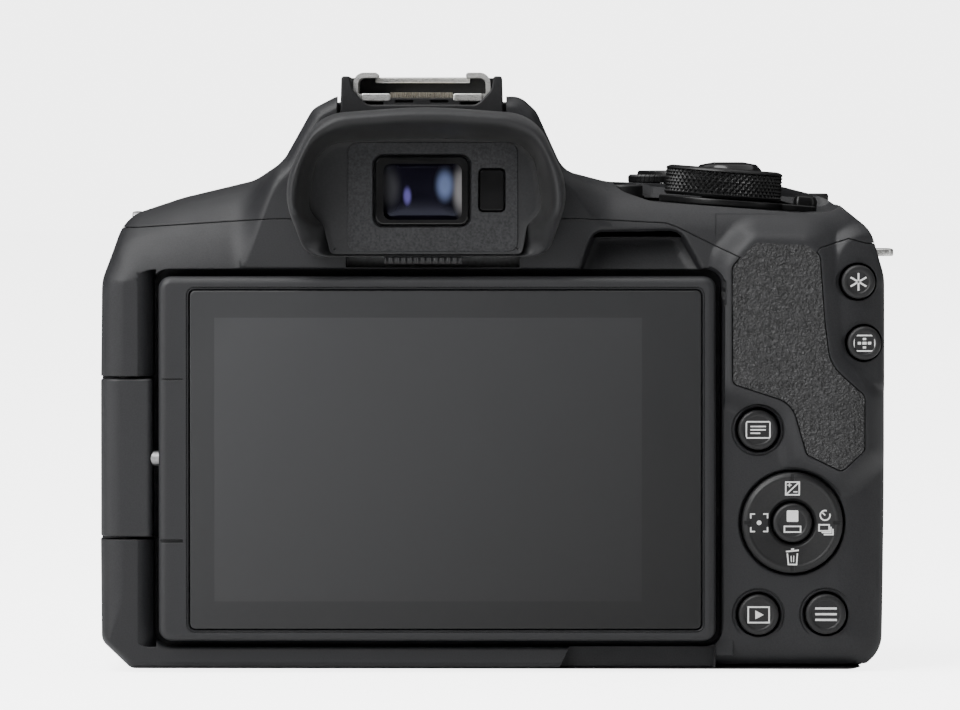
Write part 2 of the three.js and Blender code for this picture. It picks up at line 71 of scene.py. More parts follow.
def rounded(points, steps=8):
    # every corner (a, b, radius) becomes an arc that touches both of its sides
    pieces = []
    for index, (a, b, *radius) in enumerate(points):
        corner = np.array([a, b], float)
        radius = radius[0] if radius else 0
        if radius == 0:
            pieces.append(corner[None])
            continue
        back = np.array(points[index - 1][:2], float) - corner
        ahead = np.array(points[(index + 1) % len(points)][:2], float) - corner
        back, ahead = back / np.linalg.norm(back), ahead / np.linalg.norm(ahead)
        half = math.acos(np.clip(back @ ahead, -1, 1)) / 2
        bisector = (back + ahead) / np.linalg.norm(back + ahead)
        middle = corner + bisector * radius / math.sin(half)
        start = corner + back * radius / math.tan(half) - middle
        end = corner + ahead * radius / math.tan(half) - middle
        sweep = math.atan2(start[0] * end[1] - start[1] * end[0], start @ end)
        turn = np.linspace(0, sweep, steps + 1)
        pieces.append(middle + np.stack([
            start[0] * np.cos(turn) - start[1] * np.sin(turn),
            start[0] * np.sin(turn) + start[1] * np.cos(turn)], axis=1))
    return np.vstack(pieces)


def box2(left, low, right, high, radius=0.0, steps=8):
    return rounded([(left, low, radius), (right, low, radius), (right, high, radius), (left, high, radius)],
                   steps)


def evened(loop, count):
    # the same closed outline with its points at equal distances along it
    closed = np.vstack([loop, loop[:1]])
    run = np.concatenate([[0], np.cumsum(np.linalg.norm(np.diff(closed, axis=0), axis=1))])
    at = np.linspace(0, run[-1], count, endpoint=False)
    return np.stack([np.interp(at, run, closed[:, 0]), np.interp(at, run, closed[:, 1])], axis=1)


def areaOf(loop):
    a, b = loop[:, 0], loop[:, 1]
    return 0.5 * np.sum(a * np.roll(b, -1) - b * np.roll(a, -1))


def inset(loop, distance):
    # every point moves inwards, along the mean of the normals of its two sides
    ahead = np.roll(loop, -1, axis=0) - loop
    ahead /= np.maximum(np.linalg.norm(ahead, axis=1, keepdims=True), 1e-9)
    inward = np.stack([-ahead[:, 1], ahead[:, 0]], axis=1) * np.sign(areaOf(loop))
    both = inward + np.roll(inward, 1, axis=0)
    stretch = np.maximum(np.sum(both * both, axis=1, keepdims=True) / 2, 0.6)
    return loop + both / stretch * distance


def distanceTo(loop, a, b):
    # how far each grid point is outside a closed outline: the least distance to its sides, below 0 inside
    start, end = loop, np.roll(loop, -1, axis=0)
    least = np.full(a.shape, 1e9)
    inside = np.zeros(a.shape, bool)
    for (a1, b1), (a2, b2) in zip(start, end):
        da, db = a2 - a1, b2 - b1
        share = np.clip(((a - a1) * da + (b - b1) * db) / max(da * da + db * db, 1e-12), 0, 1)
        least = np.minimum(least, np.hypot(a - a1 - share * da, b - b1 - share * db))
        crosses = (b1 > b) != (b2 > b)
        inside ^= crosses & (a < a1 + (b - b1) * da / (db if abs(db) > 1e-12 else 1e-12))
    return np.where(inside, -least, least)


def placed(loop, level, axis):
    # carries an outline to one level: depth takes (x, z), up takes (x, depth), side takes (depth, z)
    a, b, c = loop[:, 0], loop[:, 1], np.broadcast_to(np.asarray(level, float), len(loop))
    x, depth, z = {"depth": (a, c, b), "up": (a, b, c), "side": (c, a, b)}[axis]
    return np.stack([x, rearPlane + depth, z], axis=1)


# meshes

def added(name, data):
    thing = bpy.data.objects.new(name, data)
    bpy.context.scene.collection.objects.link(thing)
    return thing


def solid(name, points, faces, paintedShade=None):
    # the optional value for each point is painted shade, for a material to read
    mesh = bpy.data.meshes.new(name)
    mesh.from_pydata((points * mm).tolist(), [], faces)
    if paintedShade is not None:
        mesh.attributes.new("paintedShade", "FLOAT", "POINT").data.foreach_set("value",
                                                                        paintedShade.astype(np.float32).ravel())
    work = bmesh.new()
    work.from_mesh(mesh)
    bmesh.ops.remove_doubles(work, verts=work.verts, dist=2e-7)
    bmesh.ops.recalc_face_normals(work, faces=work.faces)
    work.to_mesh(mesh)
    work.free()
    return added(name, mesh)


def lofted(name, rings, closed=False, paintedShade=None):
    # rings of shape (rows, columns, 3) joined by quads; the columns close round, and the ends are capped
    # or joined
    rows, columns = rings.shape[:2]
    grid = np.arange(rows * columns).reshape(rows, columns)
    if closed:
        grid = np.vstack([grid, grid[:1]])
    beside = np.roll(grid, -1, axis=1)
    faces = np.stack([grid[:-1], beside[:-1], beside[1:], grid[1:]], axis=-1).reshape(-1, 4).tolist()
    if not closed:
        faces += [grid[0][::-1].tolist(), grid[-1].tolist()]
    return solid(name, rings.reshape(-1, 3), faces, paintedShade)


def slab(name, loop, low, high, axis="depth", roundLow=0.0, roundHigh=0.0, steps=4):
    # an outline carried between two levels; each end draws in along a quarter circle
    turn = np.linspace(0, math.pi / 2, steps + 1)
    levels, draws = [], []
    if roundLow:
        levels += list(low + roundLow * (1 - np.cos(turn)))
        draws += list(roundLow * (1 - np.sin(turn)))
    else:
        levels, draws = [low], [0]
    if roundHigh:
        levels += list(high - roundHigh * (1 - np.cos(turn[::-1])))
        draws += list(roundHigh * (1 - np.sin(turn[::-1])))
    else:
        levels, draws = levels + [high], draws + [0]
    return lofted(name,
                  np.stack([placed(inset(loop, draw), level, axis) for level, draw in zip(levels, draws)]))


def stepped(name, loop, steps):
    # an outline carried along the depth; each step is (how far it is drawn in, depth)
    return lofted(name, np.stack([placed(inset(loop, draw), level, "depth") for draw, level in steps]))


def turned(name, profile, centre, facing, sides=96, steps=5, lean=0.0, ripple=None):
    # a profile of (radius, height, corner radius) carried round an axis through centre (x, depth, z);
    # ripple(angle, height, radius) gives the radius at each point where it varies
    line = rounded(profile, steps)
    onAxis = line[:, 0].min() < 1e-6
    radius, height = line[:, 0][:, None], line[:, 1][:, None]
    angle = np.linspace(0, 2 * math.pi, sides, endpoint=False)[None]
    radius = ripple(angle, height, radius) if ripple else np.broadcast_to(radius, (len(line), sides))
    across, beside = radius * np.cos(angle), radius * np.sin(angle)
    height = np.broadcast_to(height, across.shape)
    x, y, z = {"back": (across, -height, beside), "front": (across, height, beside),
               "up": (across, beside, height), "right": (height, across, beside)}[facing]
    tilt = math.radians(lean)
    x, z = x * math.cos(tilt) + z * math.sin(tilt), z * math.cos(tilt) - x * math.sin(tilt)
    rings = np.stack([x + centre[0], y + rearPlane + centre[1], z + centre[2]], axis=-1)
    return lofted(name, rings, closed=not onAxis)


def rod(radius, low, high, centre, facing, sides=96, lean=0.0):
    # a plain round bar between two heights on its axis
    return turned("rod", [(0, low), (radius, low), (radius, high), (0, high)], centre, facing, sides,
                  lean=lean)


def combined(target, others, operation):
    for other in others:
        modifier = target.modifiers.new(operation, "BOOLEAN")
        modifier.object, modifier.operation, modifier.solver = other, operation, "MANIFOLD"
    evaluated = target.evaluated_get(bpy.context.evaluated_depsgraph_get())
    mesh = bpy.data.meshes.new_from_object(evaluated)
    target.modifiers.clear()
    target.data = mesh
    for other in others:
        bpy.data.objects.remove(other)
    return target


def cut(target, *tools):
    return combined(target, tools, "DIFFERENCE")


def joined(target, *others):
    return combined(target, others, "UNION")


def common(target, *others):
    return combined(target, others, "INTERSECT")


def copied(thing, name):
    return added(name, thing.data.copy())


def bodyOf(node):
    return frame["nodes"][node]["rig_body"]


def finished(thing, name, node, material, sharp=34, body=None):
    # a printed sign gives its own body, because the node it passes is another one
    thing.name = thing.data.name = name
    mesh = thing.data
    mesh.materials.clear()
    mesh.materials.append(material)
    mesh.shade_smooth()
    mesh.set_sharp_from_angle(angle=math.radians(sharp))
    weighted = thing.modifiers.new("evenShading", "WEIGHTED_NORMAL")
    weighted.keep_sharp = True
    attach(thing, body or bodyOf(node))
    return thing


def standIn(thing, name, node, material, sharp=34):
    finished(thing, name, node, material, sharp)
    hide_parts(node)
    return thing


# materials

def wire(source, socket):
    socket.id_data.links.new(source, socket)


def setSockets(node, values):
    for socket, value in values.items():
        node.inputs[socket].default_value = value


def newMaterial(name, **values):
    material = bpy.data.materials.new(name)
    material.use_nodes = True
    nodes = material.node_tree.nodes
    shader = nodes["Principled BSDF"]
    setSockets(shader, values)
    place = nodes.new("ShaderNodeTexCoord")
    return material, nodes, shader, place.outputs["Object"]


def noiseOn(nodes, place, sizeMm, detail=3.0, distortion=0.0):
    noise = nodes.new("ShaderNodeTexNoise")
    setSockets(noise, {"Scale": 1 / (sizeMm * mm), "Detail": detail, "Distortion": distortion})
    wire(place, noise.inputs["Vector"])
    return noise.outputs["Fac"]


def spanOf(nodes, source, low, high, fromLow=0.3, fromHigh=0.7):
    span = nodes.new("ShaderNodeMapRange")
    setSockets(span, {"From Min": fromLow, "From Max": fromHigh, "To Min": low, "To Max": high})
    wire(source, span.inputs["Value"])
    return span.outputs["Result"]


def tintOf(nodes, source, dark, light):
    ramp = nodes.new("ShaderNodeValToRGB")
    ramp.color_ramp.elements[0].position, ramp.color_ramp.elements[1].position = 0.3, 0.7
    ramp.color_ramp.elements[0].color = (*dark, 1)
    ramp.color_ramp.elements[1].color = (*light, 1)
    wire(source, ramp.inputs["Fac"])
    return ramp.outputs["Color"]


def mixOf(nodes, share, under, colour):
    mixed = nodes.new("ShaderNodeMixRGB")
    mixed.inputs[2].default_value = (*colour, 1)
    wire(share, mixed.inputs[0])
    wire(under, mixed.inputs[1])
    return mixed.outputs[0]


def bumpOf(nodes, source, heightMm, strength=1.0, under=None):
    bump = nodes.new("ShaderNodeBump")
    setSockets(bump, {"Strength": strength, "Distance": heightMm * mm})
    wire(source, bump.inputs["Height"])
    if under:
        wire(under, bump.inputs["Normal"])
    return bump.outputs["Normal"]


def edgeOf(nodes, radiusMm):
    edge = nodes.new("ShaderNodeBevel")
    edge.samples = 4
    edge.inputs["Radius"].default_value = radiusMm * mm
    return edge.outputs["Normal"]


def mouldedPlastic(name, dark, light, roughness, grainMm, grainHeightMm, edgeMm=0.0, shine=0.32, **values):
    # moulded grain: fine noise for the bump, broad noise for the tone and the sheen
    material, nodes, shader, place = newMaterial(name, **{"Specular IOR Level": shine}, **values)
    broad = noiseOn(nodes, place, 7, 4)
    fine = noiseOn(nodes, place, grainMm, 2)
    wire(tintOf(nodes, fine, dark, light), shader.inputs["Base Color"])
    wire(spanOf(nodes, broad, roughness - 0.04, roughness + 0.05), shader.inputs["Roughness"])
    under = edgeOf(nodes, edgeMm) if edgeMm else None
    wire(bumpOf(nodes, fine, grainHeightMm, 1.0, under), shader.inputs["Normal"])
    return material


def leatherRubber(name, dark, light, roughness, cellMm, heightMm):
    # wrinkled hide: stretched noise creases over a fine pebble
    material, nodes, shader, place = newMaterial(name)
    creases = noiseOn(nodes, place, cellMm, 5, 1.6)
    pebble = nodes.new("ShaderNodeTexVoronoi")
    pebble.inputs["Scale"].default_value = 1 / (0.42 * cellMm * mm)
    wire(place, pebble.inputs["Vector"])
    mixed = nodes.new("ShaderNodeMath")
    mixed.operation = "MULTIPLY_ADD"
    mixed.inputs[1].default_value = 0.35
    wire(pebble.outputs["Distance"], mixed.inputs[0])
    wire(creases, mixed.inputs[2])
    wire(tintOf(nodes, creases, dark, light), shader.inputs["Base Color"])
    wire(spanOf(nodes, creases, roughness + 0.08, roughness - 0.05), shader.inputs["Roughness"])
    wire(bumpOf(nodes, mixed.outputs[0], heightMm), shader.inputs["Normal"])
    return material


def brushedMetal(name, dark, light, roughness, stretch, bumpMm=0.004):
    # brush marks: noise stretched along one axis
    material, nodes, shader, place = newMaterial(name, Metallic=1.0)
    lay = nodes.new("ShaderNodeMapping")
    lay.inputs["Scale"].default_value = stretch
    wire(place, lay.inputs["Vector"])
    marks = noiseOn(nodes, lay.outputs["Vector"], 0.5, 4)
    wire(tintOf(nodes, marks, dark, light), shader.inputs["Base Color"])
    wire(spanOf(nodes, marks, roughness - 0.06, roughness + 0.08), shader.inputs["Roughness"])
    wire(bumpOf(nodes, marks, bumpMm), shader.inputs["Normal"])
    return material


bodyPlastic = mouldedPlastic("bodyPlastic", (0.0102, 0.0103, 0.0114), (0.0175, 0.0177, 0.0195), 0.5, 0.2,
                             0.012, 0.25)
framePlastic = mouldedPlastic("framePlastic", (0.0145, 0.0147, 0.016), (0.0205, 0.0207, 0.0225), 0.44, 0.2,
                              0.006, 0.2)
darkPlastic = mouldedPlastic("darkPlastic", (0.007, 0.007, 0.0076), (0.011, 0.011, 0.012), 0.45, 0.2, 0.008,
                             0.2)
speckledPlastic = mouldedPlastic("speckledPlastic", (0.0085, 0.0087, 0.0096), (0.027, 0.0275, 0.03), 0.5,
                                 0.32, 0.03, 0.15)
dialPlastic = mouldedPlastic("dialPlastic", (0.004, 0.004, 0.0042), (0.007, 0.007, 0.0074), 0.3, 0.3, 0.003)
buttonPlastic = mouldedPlastic("buttonPlastic", (0.009, 0.009, 0.0094), (0.013, 0.013, 0.0136), 0.42, 0.25,
                               0.004)
glossPlastic = mouldedPlastic("glossPlastic", (0.002, 0.002, 0.0022), (0.003, 0.003, 0.0034), 0.14, 1.2,
                              0.001, shine=0.5)
printedWhite = mouldedPlastic("printedWhite", (0.62, 0.62, 0.62), (0.74, 0.74, 0.73), 0.55, 0.15, 0.003)
gripRubber = leatherRubber("gripRubber", (0.006, 0.006, 0.0064), (0.026, 0.026, 0.0275), 0.42, 0.95, 1.1)
eyecupRubber = mouldedPlastic("eyecupRubber", (0.0115, 0.0117, 0.0128), (0.0165, 0.0167, 0.0182), 0.5, 0.3,
                              0.006, 0.2,
                              **{"Sheen Weight": 0.05, "Sheen Roughness": 0.5})
steel = brushedMetal("steel", (0.66, 0.66, 0.64), (0.82, 0.81, 0.79), 0.3, (1, 9, 9), 0.0012)
frameMetal = brushedMetal("frameMetal", (0.32, 0.32, 0.32), (0.44, 0.44, 0.45), 0.46, (1, 1, 1), 0.01)
contactMetal = brushedMetal("contactMetal", (0.5, 0.47, 0.4), (0.7, 0.66, 0.58), 0.3, (1, 9, 1), 0.0015)


def lined(name, dark, light, sizes, offset, roughness, heightMm, metallic=0.0, speck=None):
    # rows of thin lines with broken joints, over a fine grain; speck adds small round pads of another
    # colour
    material, nodes, shader, place = newMaterial(name, Roughness=roughness, Metallic=metallic)
    turn = nodes.new("ShaderNodeMapping")
    turn.inputs["Rotation"].default_value = (math.radians(90), 0, 0)
    wire(place, turn.inputs["Vector"])
    rows = nodes.new("ShaderNodeTexBrick")
    rows.offset = offset
    setSockets(rows, {"Scale": 1 / mm, "Mortar Size": sizes[2], "Mortar Smooth": 0.3, "Brick Width": sizes[0],
                      "Row Height": sizes[1]})
    wire(turn.outputs["Vector"], rows.inputs["Vector"])
    tint = tintOf(nodes, rows.outputs["Fac"], dark, light)
    if speck:
        pads = nodes.new("ShaderNodeTexVoronoi")
        pads.inputs["Scale"].default_value = 1 / (2.1 * mm)
        wire(place, pads.inputs["Vector"])
        tint = mixOf(nodes, spanOf(nodes, pads.outputs["Distance"], 1, 0, 0.16, 0.2), tint, speck)
    wire(tint, shader.inputs["Base Color"])
    wire(bumpOf(nodes, rows.outputs["Fac"], heightMm), shader.inputs["Normal"])
    wire(spanOf(nodes, noiseOn(nodes, place, 1.5), roughness - 0.05, roughness + 0.08),
         shader.inputs["Roughness"])
    return material


circuitBoard = lined("circuitBoard", (0.008, 0.05, 0.022), (0.02, 0.12, 0.05), (2.6, 0.6, 0.07), 0.37, 0.42,
                     0.03,
                     speck=(0.6, 0.45, 0.2))
sensorGlass = lined("sensorGlass", (0.012, 0.01, 0.02), (0.05, 0.035, 0.07), (26, 0.16, 0.03), 0, 0.12, 0.002)
bladeMetal = lined("bladeMetal", (0.012, 0.012, 0.013), (0.05, 0.05, 0.052), (40, 2.6, 0.06), 0, 0.4, 0.02,
                   0.5)
displayGlass = lined("displayGlass", (0.006, 0.0065, 0.008), (0.012, 0.013, 0.015), (0.3, 0.3, 0.04), 0, 0.16,
                     0.001)
cellLabel = lined("cellLabel", (0.03, 0.031, 0.034), (0.1, 0.1, 0.104), (60, 7, 0.12), 0, 0.5, 0.01)
socketMetal = brushedMetal("socketMetal", (0.4, 0.4, 0.41), (0.55, 0.55, 0.56), 0.34, (1, 1, 12), 0.002)


# the body's outer form

body = {
    "outline": [
        (-54.8, 0.2, 1.6), (57.1, 0.05, 5.2), (57.5, 30, 60), (57.4, 58.5, 9), (55.2, 65.6, 5),
        (49.5, 70.2, 6), (42.5, 72, 8), (28, 72.2, 30), (16.5, 72.6, 10), (9.6, 74.4, 4), (5.6, 83.2, 3.2),
        (3.2, 85.4, 3), (-24, 85.5, 3), (-27.7, 83.6, 3.2), (-32, 75.9, 5), (-36.5, 72.9, 6),
        (-47.3, 70.3, 20),
        (-56, 67.4, 6), (-59.1, 58.5, 12), (-59.4, 30, 60), (-59.2, 4.4, 2.2)],
    "count": 900,
    "wall": 2.2,
    "rearEdge": 3.6,
    "left": -59.4,
    "right": 57.4,
    "depth": 30,
    "gripDepth": 55.3,
    "split": 11.5,
    "seam": [(-90, 65.4), (-54, 65.9), (-34, 67.2), (10.7, 67.3), (24.7, 66.6), (26.3, 66.1), (32.2, 63.2),
             (36, 61.4), (46.6, 61.6), (47.6, 62.9), (51.9, 64.3), (54.6, 63.6), (90, 63.3)],
    "plateTop": 2,
    "rearLow": 0.5,
    "gap": 0.06,
    "shoulderStart": (56.4, 63.8),    # heights, left and right
    "shoulderReach": (13.0, 9.0),
}
seamBand = np.array([(x, z - 0.45) for x, z in body["seam"]] + [(x, z + 0.45) for x, z in body["seam"][::-1]])


def shoulderDrop(x, z, depth):
    # above its start height the outline comes down to it at the back, and rises to full height along a
    # quarter ellipse; the hump, in the middle, stays upright
    startZ = np.where(x < 0, *body["shoulderStart"])
    reach = np.where(x < 0, *body["shoulderReach"])
    share = np.clip(depth / reach, 0, 1)
    rise = np.sqrt(1 - (1 - share) ** 2)
    beside = np.clip(np.maximum((-31.8 - x) / 8.5, (x - 9) / 8.5), 0, 1)
    beside = beside ** 3 * (beside * (6 * beside - 15) + 10)
    above = np.clip(z - startZ, 0, None)
    above = np.where(above < 3, above ** 2 / 6, above - 1.5)    # a parabola that runs into a straight line
    return z - above * beside * (1 - rise)


def planOf(neckX, noseX):
    # the body seen from above, with the grip standing forward between its neck and its nose
    return [(body["left"] - 1, -1, 2), (body["right"] + 1, -1, 2), (body["right"] + 0.6, 40, 9),
            (50.4, body["gripDepth"], 7.5), (noseX, body["gripDepth"], 8), (neckX, body["depth"], 6),
            (body["left"], body["depth"], 5.5)]


gripPlan = planOf(24.5, 35)


def bodyForm(name, thickness):
    # the outline seen from the back, drawn in along a quarter circle at its rear edge, with its shoulders
    # sloped; then cut to the outlines seen from above and from the side
    outline = inset(evened(rounded(body["outline"], 14), body["count"]), thickness)
    edge = body["rearEdge"] - thickness * 0.6
    low, high = np.clip((outline[:, 1] - 3) / 9, 0, 1), np.clip((outline[:, 1] - 70) / 8, 0, 1)
    # tighter along the bottom and the hump
    sharpness = (0.36 + 0.64 * low * low * (3 - 2 * low) - 0.5 * high)[:, None]
    depths = np.concatenate([
        thickness + edge * (1 - np.cos(np.linspace(0, math.pi / 2, 9))), np.linspace(5, 14, 10), [62]])
    rings = []
    for depth in depths:
        share = np.clip((depth - thickness) / edge, 0, 1)
        loop = inset(outline, edge * (1 - math.sqrt(1 - (1 - share) ** 2)) * sharpness)
        loop[:, 1] = shoulderDrop(loop[:, 0], loop[:, 1], depth - thickness)
        rings.append(placed(loop, depth, "depth"))
    fromBack = lofted(name, np.stack(rings))

    lowPlan, highPlan = (inset(evened(rounded(points, 12), 400), thickness) for points in (gripPlan,
                                                                                           planOf(13, 31)))
    levels = np.array([0, 0.25, 0.8, 1.7, 3, 56, 57.5, 59, 60.5, 62, 90]) + thickness * np.array(
        [1, 1, 1, 1, 1, 0, 0, 0, 0, 0, 0])
    draws = np.array([2.6, 1.7, 0.8, 0.2, 0, 0, 0, 0, 0, 0, 0])
    shares = np.array([0, 0, 0, 0, 0, 0, 0.15, 0.5, 0.85, 1, 1])
    plans = [placed(inset(lowPlan * (1 - share) + highPlan * share, draw), level, "up")
             for level, draw, share in zip(levels, draws, shares)]
    fromAbove = lofted("plan", np.stack(plans))
    sideLine = rounded([(-2, -1), (61, -1), (61, 56), (54.3, 69, 5), (49, 72.4, 6), (32, 72.6, 2), (31, 92),
                        (-2, 92)], 10)
    fromSide = slab("profile", inset(evened(sideLine, 300), thickness), -75, 75, "side")
    return common(fromBack, fromAbove, fromSide)


outerForm = bodyForm("outerForm", 0)
innerForm = bodyForm("innerForm", body["wall"])
shell = cut(copied(outerForm, "shell"), copied(innerForm, "hollow"))
edgeForm = slab("edgeForm", inset(evened(rounded(body["outline"], 12), 900), 0.01), -12, 60)
print("body form done")


def seamHalf(above, gapShare):
    # everything above or below the seam line, as a prism along the depth
    shift = body["gap"] * gapShare * (1 if above else -1)
    line = [(x, z + shift) for x, z in body["seam"]]
    far = 120 if above else -20
    return slab("seamHalf", np.array(line + [(90, far), (-90, far)]), -20, 100)


def depthHalf(rear):
    # everything behind or in front of the split between the rear and front covers
    return slab("depthHalf", box2(-90, -20, 90, 120), -20 if rear else body["split"] + body["gap"],
                body["split"] - body["gap"] if rear else 100)


thumb = {
    "outline": [(34.5, 60.2, 2), (37.9, 63.9, 1.2), (45.9, 63.5, 2), (47.7, 61.8, 1.5), (48.4, 52, 20),
                (49.2, 45.6, 6),
                (54.4, 41, 1.5), (54.4, 32.8, 1), (50.9, 29.6, 1.2), (45.6, 32.2, 1.2), (43.4, 39.8, 4),
                (34.6, 42.7, 1)],
    "height": 2.3,
    "falloff": 4.2,
    "pad": [(50.4, 43.6, 3), (62, 42.5, 1), (62, 64.8, 1), (51.2, 64.4, 4), (50.1, 58, 6)],
    "padHeight": 1.3,
    "padFalloff": 2.6,
    "groove": 0.32,
    "grid": 0.22,
    "left": 31.0,
    "rollReach": 7.5,
    "rollDepth": 4.6,
}
thumbOutline = rounded(thumb["outline"], 10)


def swellSolid(name, lift):
    # a height field over the right of the back: full height over the rubber and falling away round it
    # along a smooth step, blended with a lower pad under the two edge buttons, and rolled off along a
    # quarter ellipse to the edge
    x, z = np.meshgrid(np.arange(thumb["left"], 57.45, thumb["grid"]), np.arange(0.9, 70.2, thumb["grid"]))
    share = np.clip(1 - distanceTo(thumbOutline, x, z) / thumb["falloff"], 0, 1)
    height = thumb["height"] * share * share * (3 - 2 * share)
    padShare = np.clip(1 - distanceTo(rounded(thumb["pad"], 8), x, z) / thumb["padFalloff"], 0, 1)
    pad = thumb["padHeight"] * padShare * padShare * (3 - 2 * padShare)
    height = (height ** 4 + pad ** 4) ** 0.25
    toEdge = np.clip(-distanceTo(rounded(body["outline"], 10), x, z), 0, None)
    nearness = np.clip(1 - toEdge / thumb["rollReach"], 0, 1)
    roll = thumb["rollDepth"] * (1 - np.sqrt(1 - nearness ** 2)) * np.clip((69 - z) / 12, 0, 1)
    slope = np.clip((z - 64.6) / 7.4, 0, 1)
    fade = np.clip((70.2 - z) / 6.0, 0, 1)
    height = height * fade * fade * (3 - 2 * fade)
    buried = np.clip((thumb["left"] + 0.6 - x) / 0.6, 0, 1) + np.clip((z - 69) / 1.2, 0, 1)
    depth = 0.02 - height + roll + 9 * (1 - np.sqrt(1 - slope ** 2)) - lift + 0.25 * buried
    rows, columns = x.shape
    points = np.concatenate([
        np.stack([x, rearPlane + depth, z], axis=-1).reshape(-1, 3),
        np.stack([x, np.full(x.shape, rearPlane + 7.5), z], axis=-1).reshape(-1, 3)])
    near = np.arange(rows * columns).reshape(rows, columns)
    far = near + rows * columns
    sheets = [np.stack([g[:-1, :-1], g[:-1, 1:], g[1:, 1:], g[1:, :-1]], axis=-1).reshape(-1,
                                                                                          4) for g in (near,
                                                                                                       far)]
    walls = [np.stack([a[:-1], a[1:], b[1:], b[:-1]], axis=-1) for a, b in (
        (near[0], far[0]), (near[-1], far[-1]), (near[:, 0], far[:, 0]), (near[:, -1], far[:, -1]))]
    return solid(name, points, np.vstack(sheets + walls).tolist())


monitor = {"left": -50.5, "right": 32.2, "low": 4.6, "high": 58.7}
recess = {"left": -51.35, "right": 33.05, "low": 3.55, "high": 59.7, "depth": 6.3}
swing = {"x": -55.3, "depth": 4, "low": 20.1, "high": 43.3, "pinHole": 1.6}
tiltHinge = {"depth": 1.6, "z": 31.6, "bore": 1.25, "shaft": 1.1}
tiltCentre = (0, tiltHinge["depth"], tiltHinge["z"])
release = {"x": -47.5, "z": 31}
tripod = {"x": -11.3, "depth": 18, "bore": 3.3, "thread": 1.27, "threadDeep": 0.16}
viewfinder = {"left": -22.4, "right": 2.8, "low": 61.8, "high": 78.6}
rearButtons = {
    "ae_lock_button": (53.3, 57.9, 2.5, -2.15), "af_point_button": (54.2, 48.8, 2.5, -2.15),
    "info_button": (38.5, 35.9, 3.0, -0.75), "set_button": (43.6, 22.1, 2.9, -1.05),
    "play_button": (38.6, 8.4, 3.0, -0.75), "menu_button": (48.6, 8.5, 3.0, -0.75),
}
crossKeys = {"x": 43.6, "z": 22.1, "r": 7.5, "hole": 3.25}


def wellOf(x, z, radius, deep, mouth=0.35, depth=0.0, rear=-6):
    # a round well whose mouth flares along a quarter circle
    turn = np.linspace(0, math.pi / 2, 5)
    flare = [(radius + mouth * (1 - math.sin(t)), -depth - mouth * (1 - math.cos(t))) for t in turn]
    profile = [(0, -rear), (radius + mouth, -rear)] + flare + [(radius, -deep), (0, -deep)]
    return turned("well", profile, (x, 0, z), "back", 72)


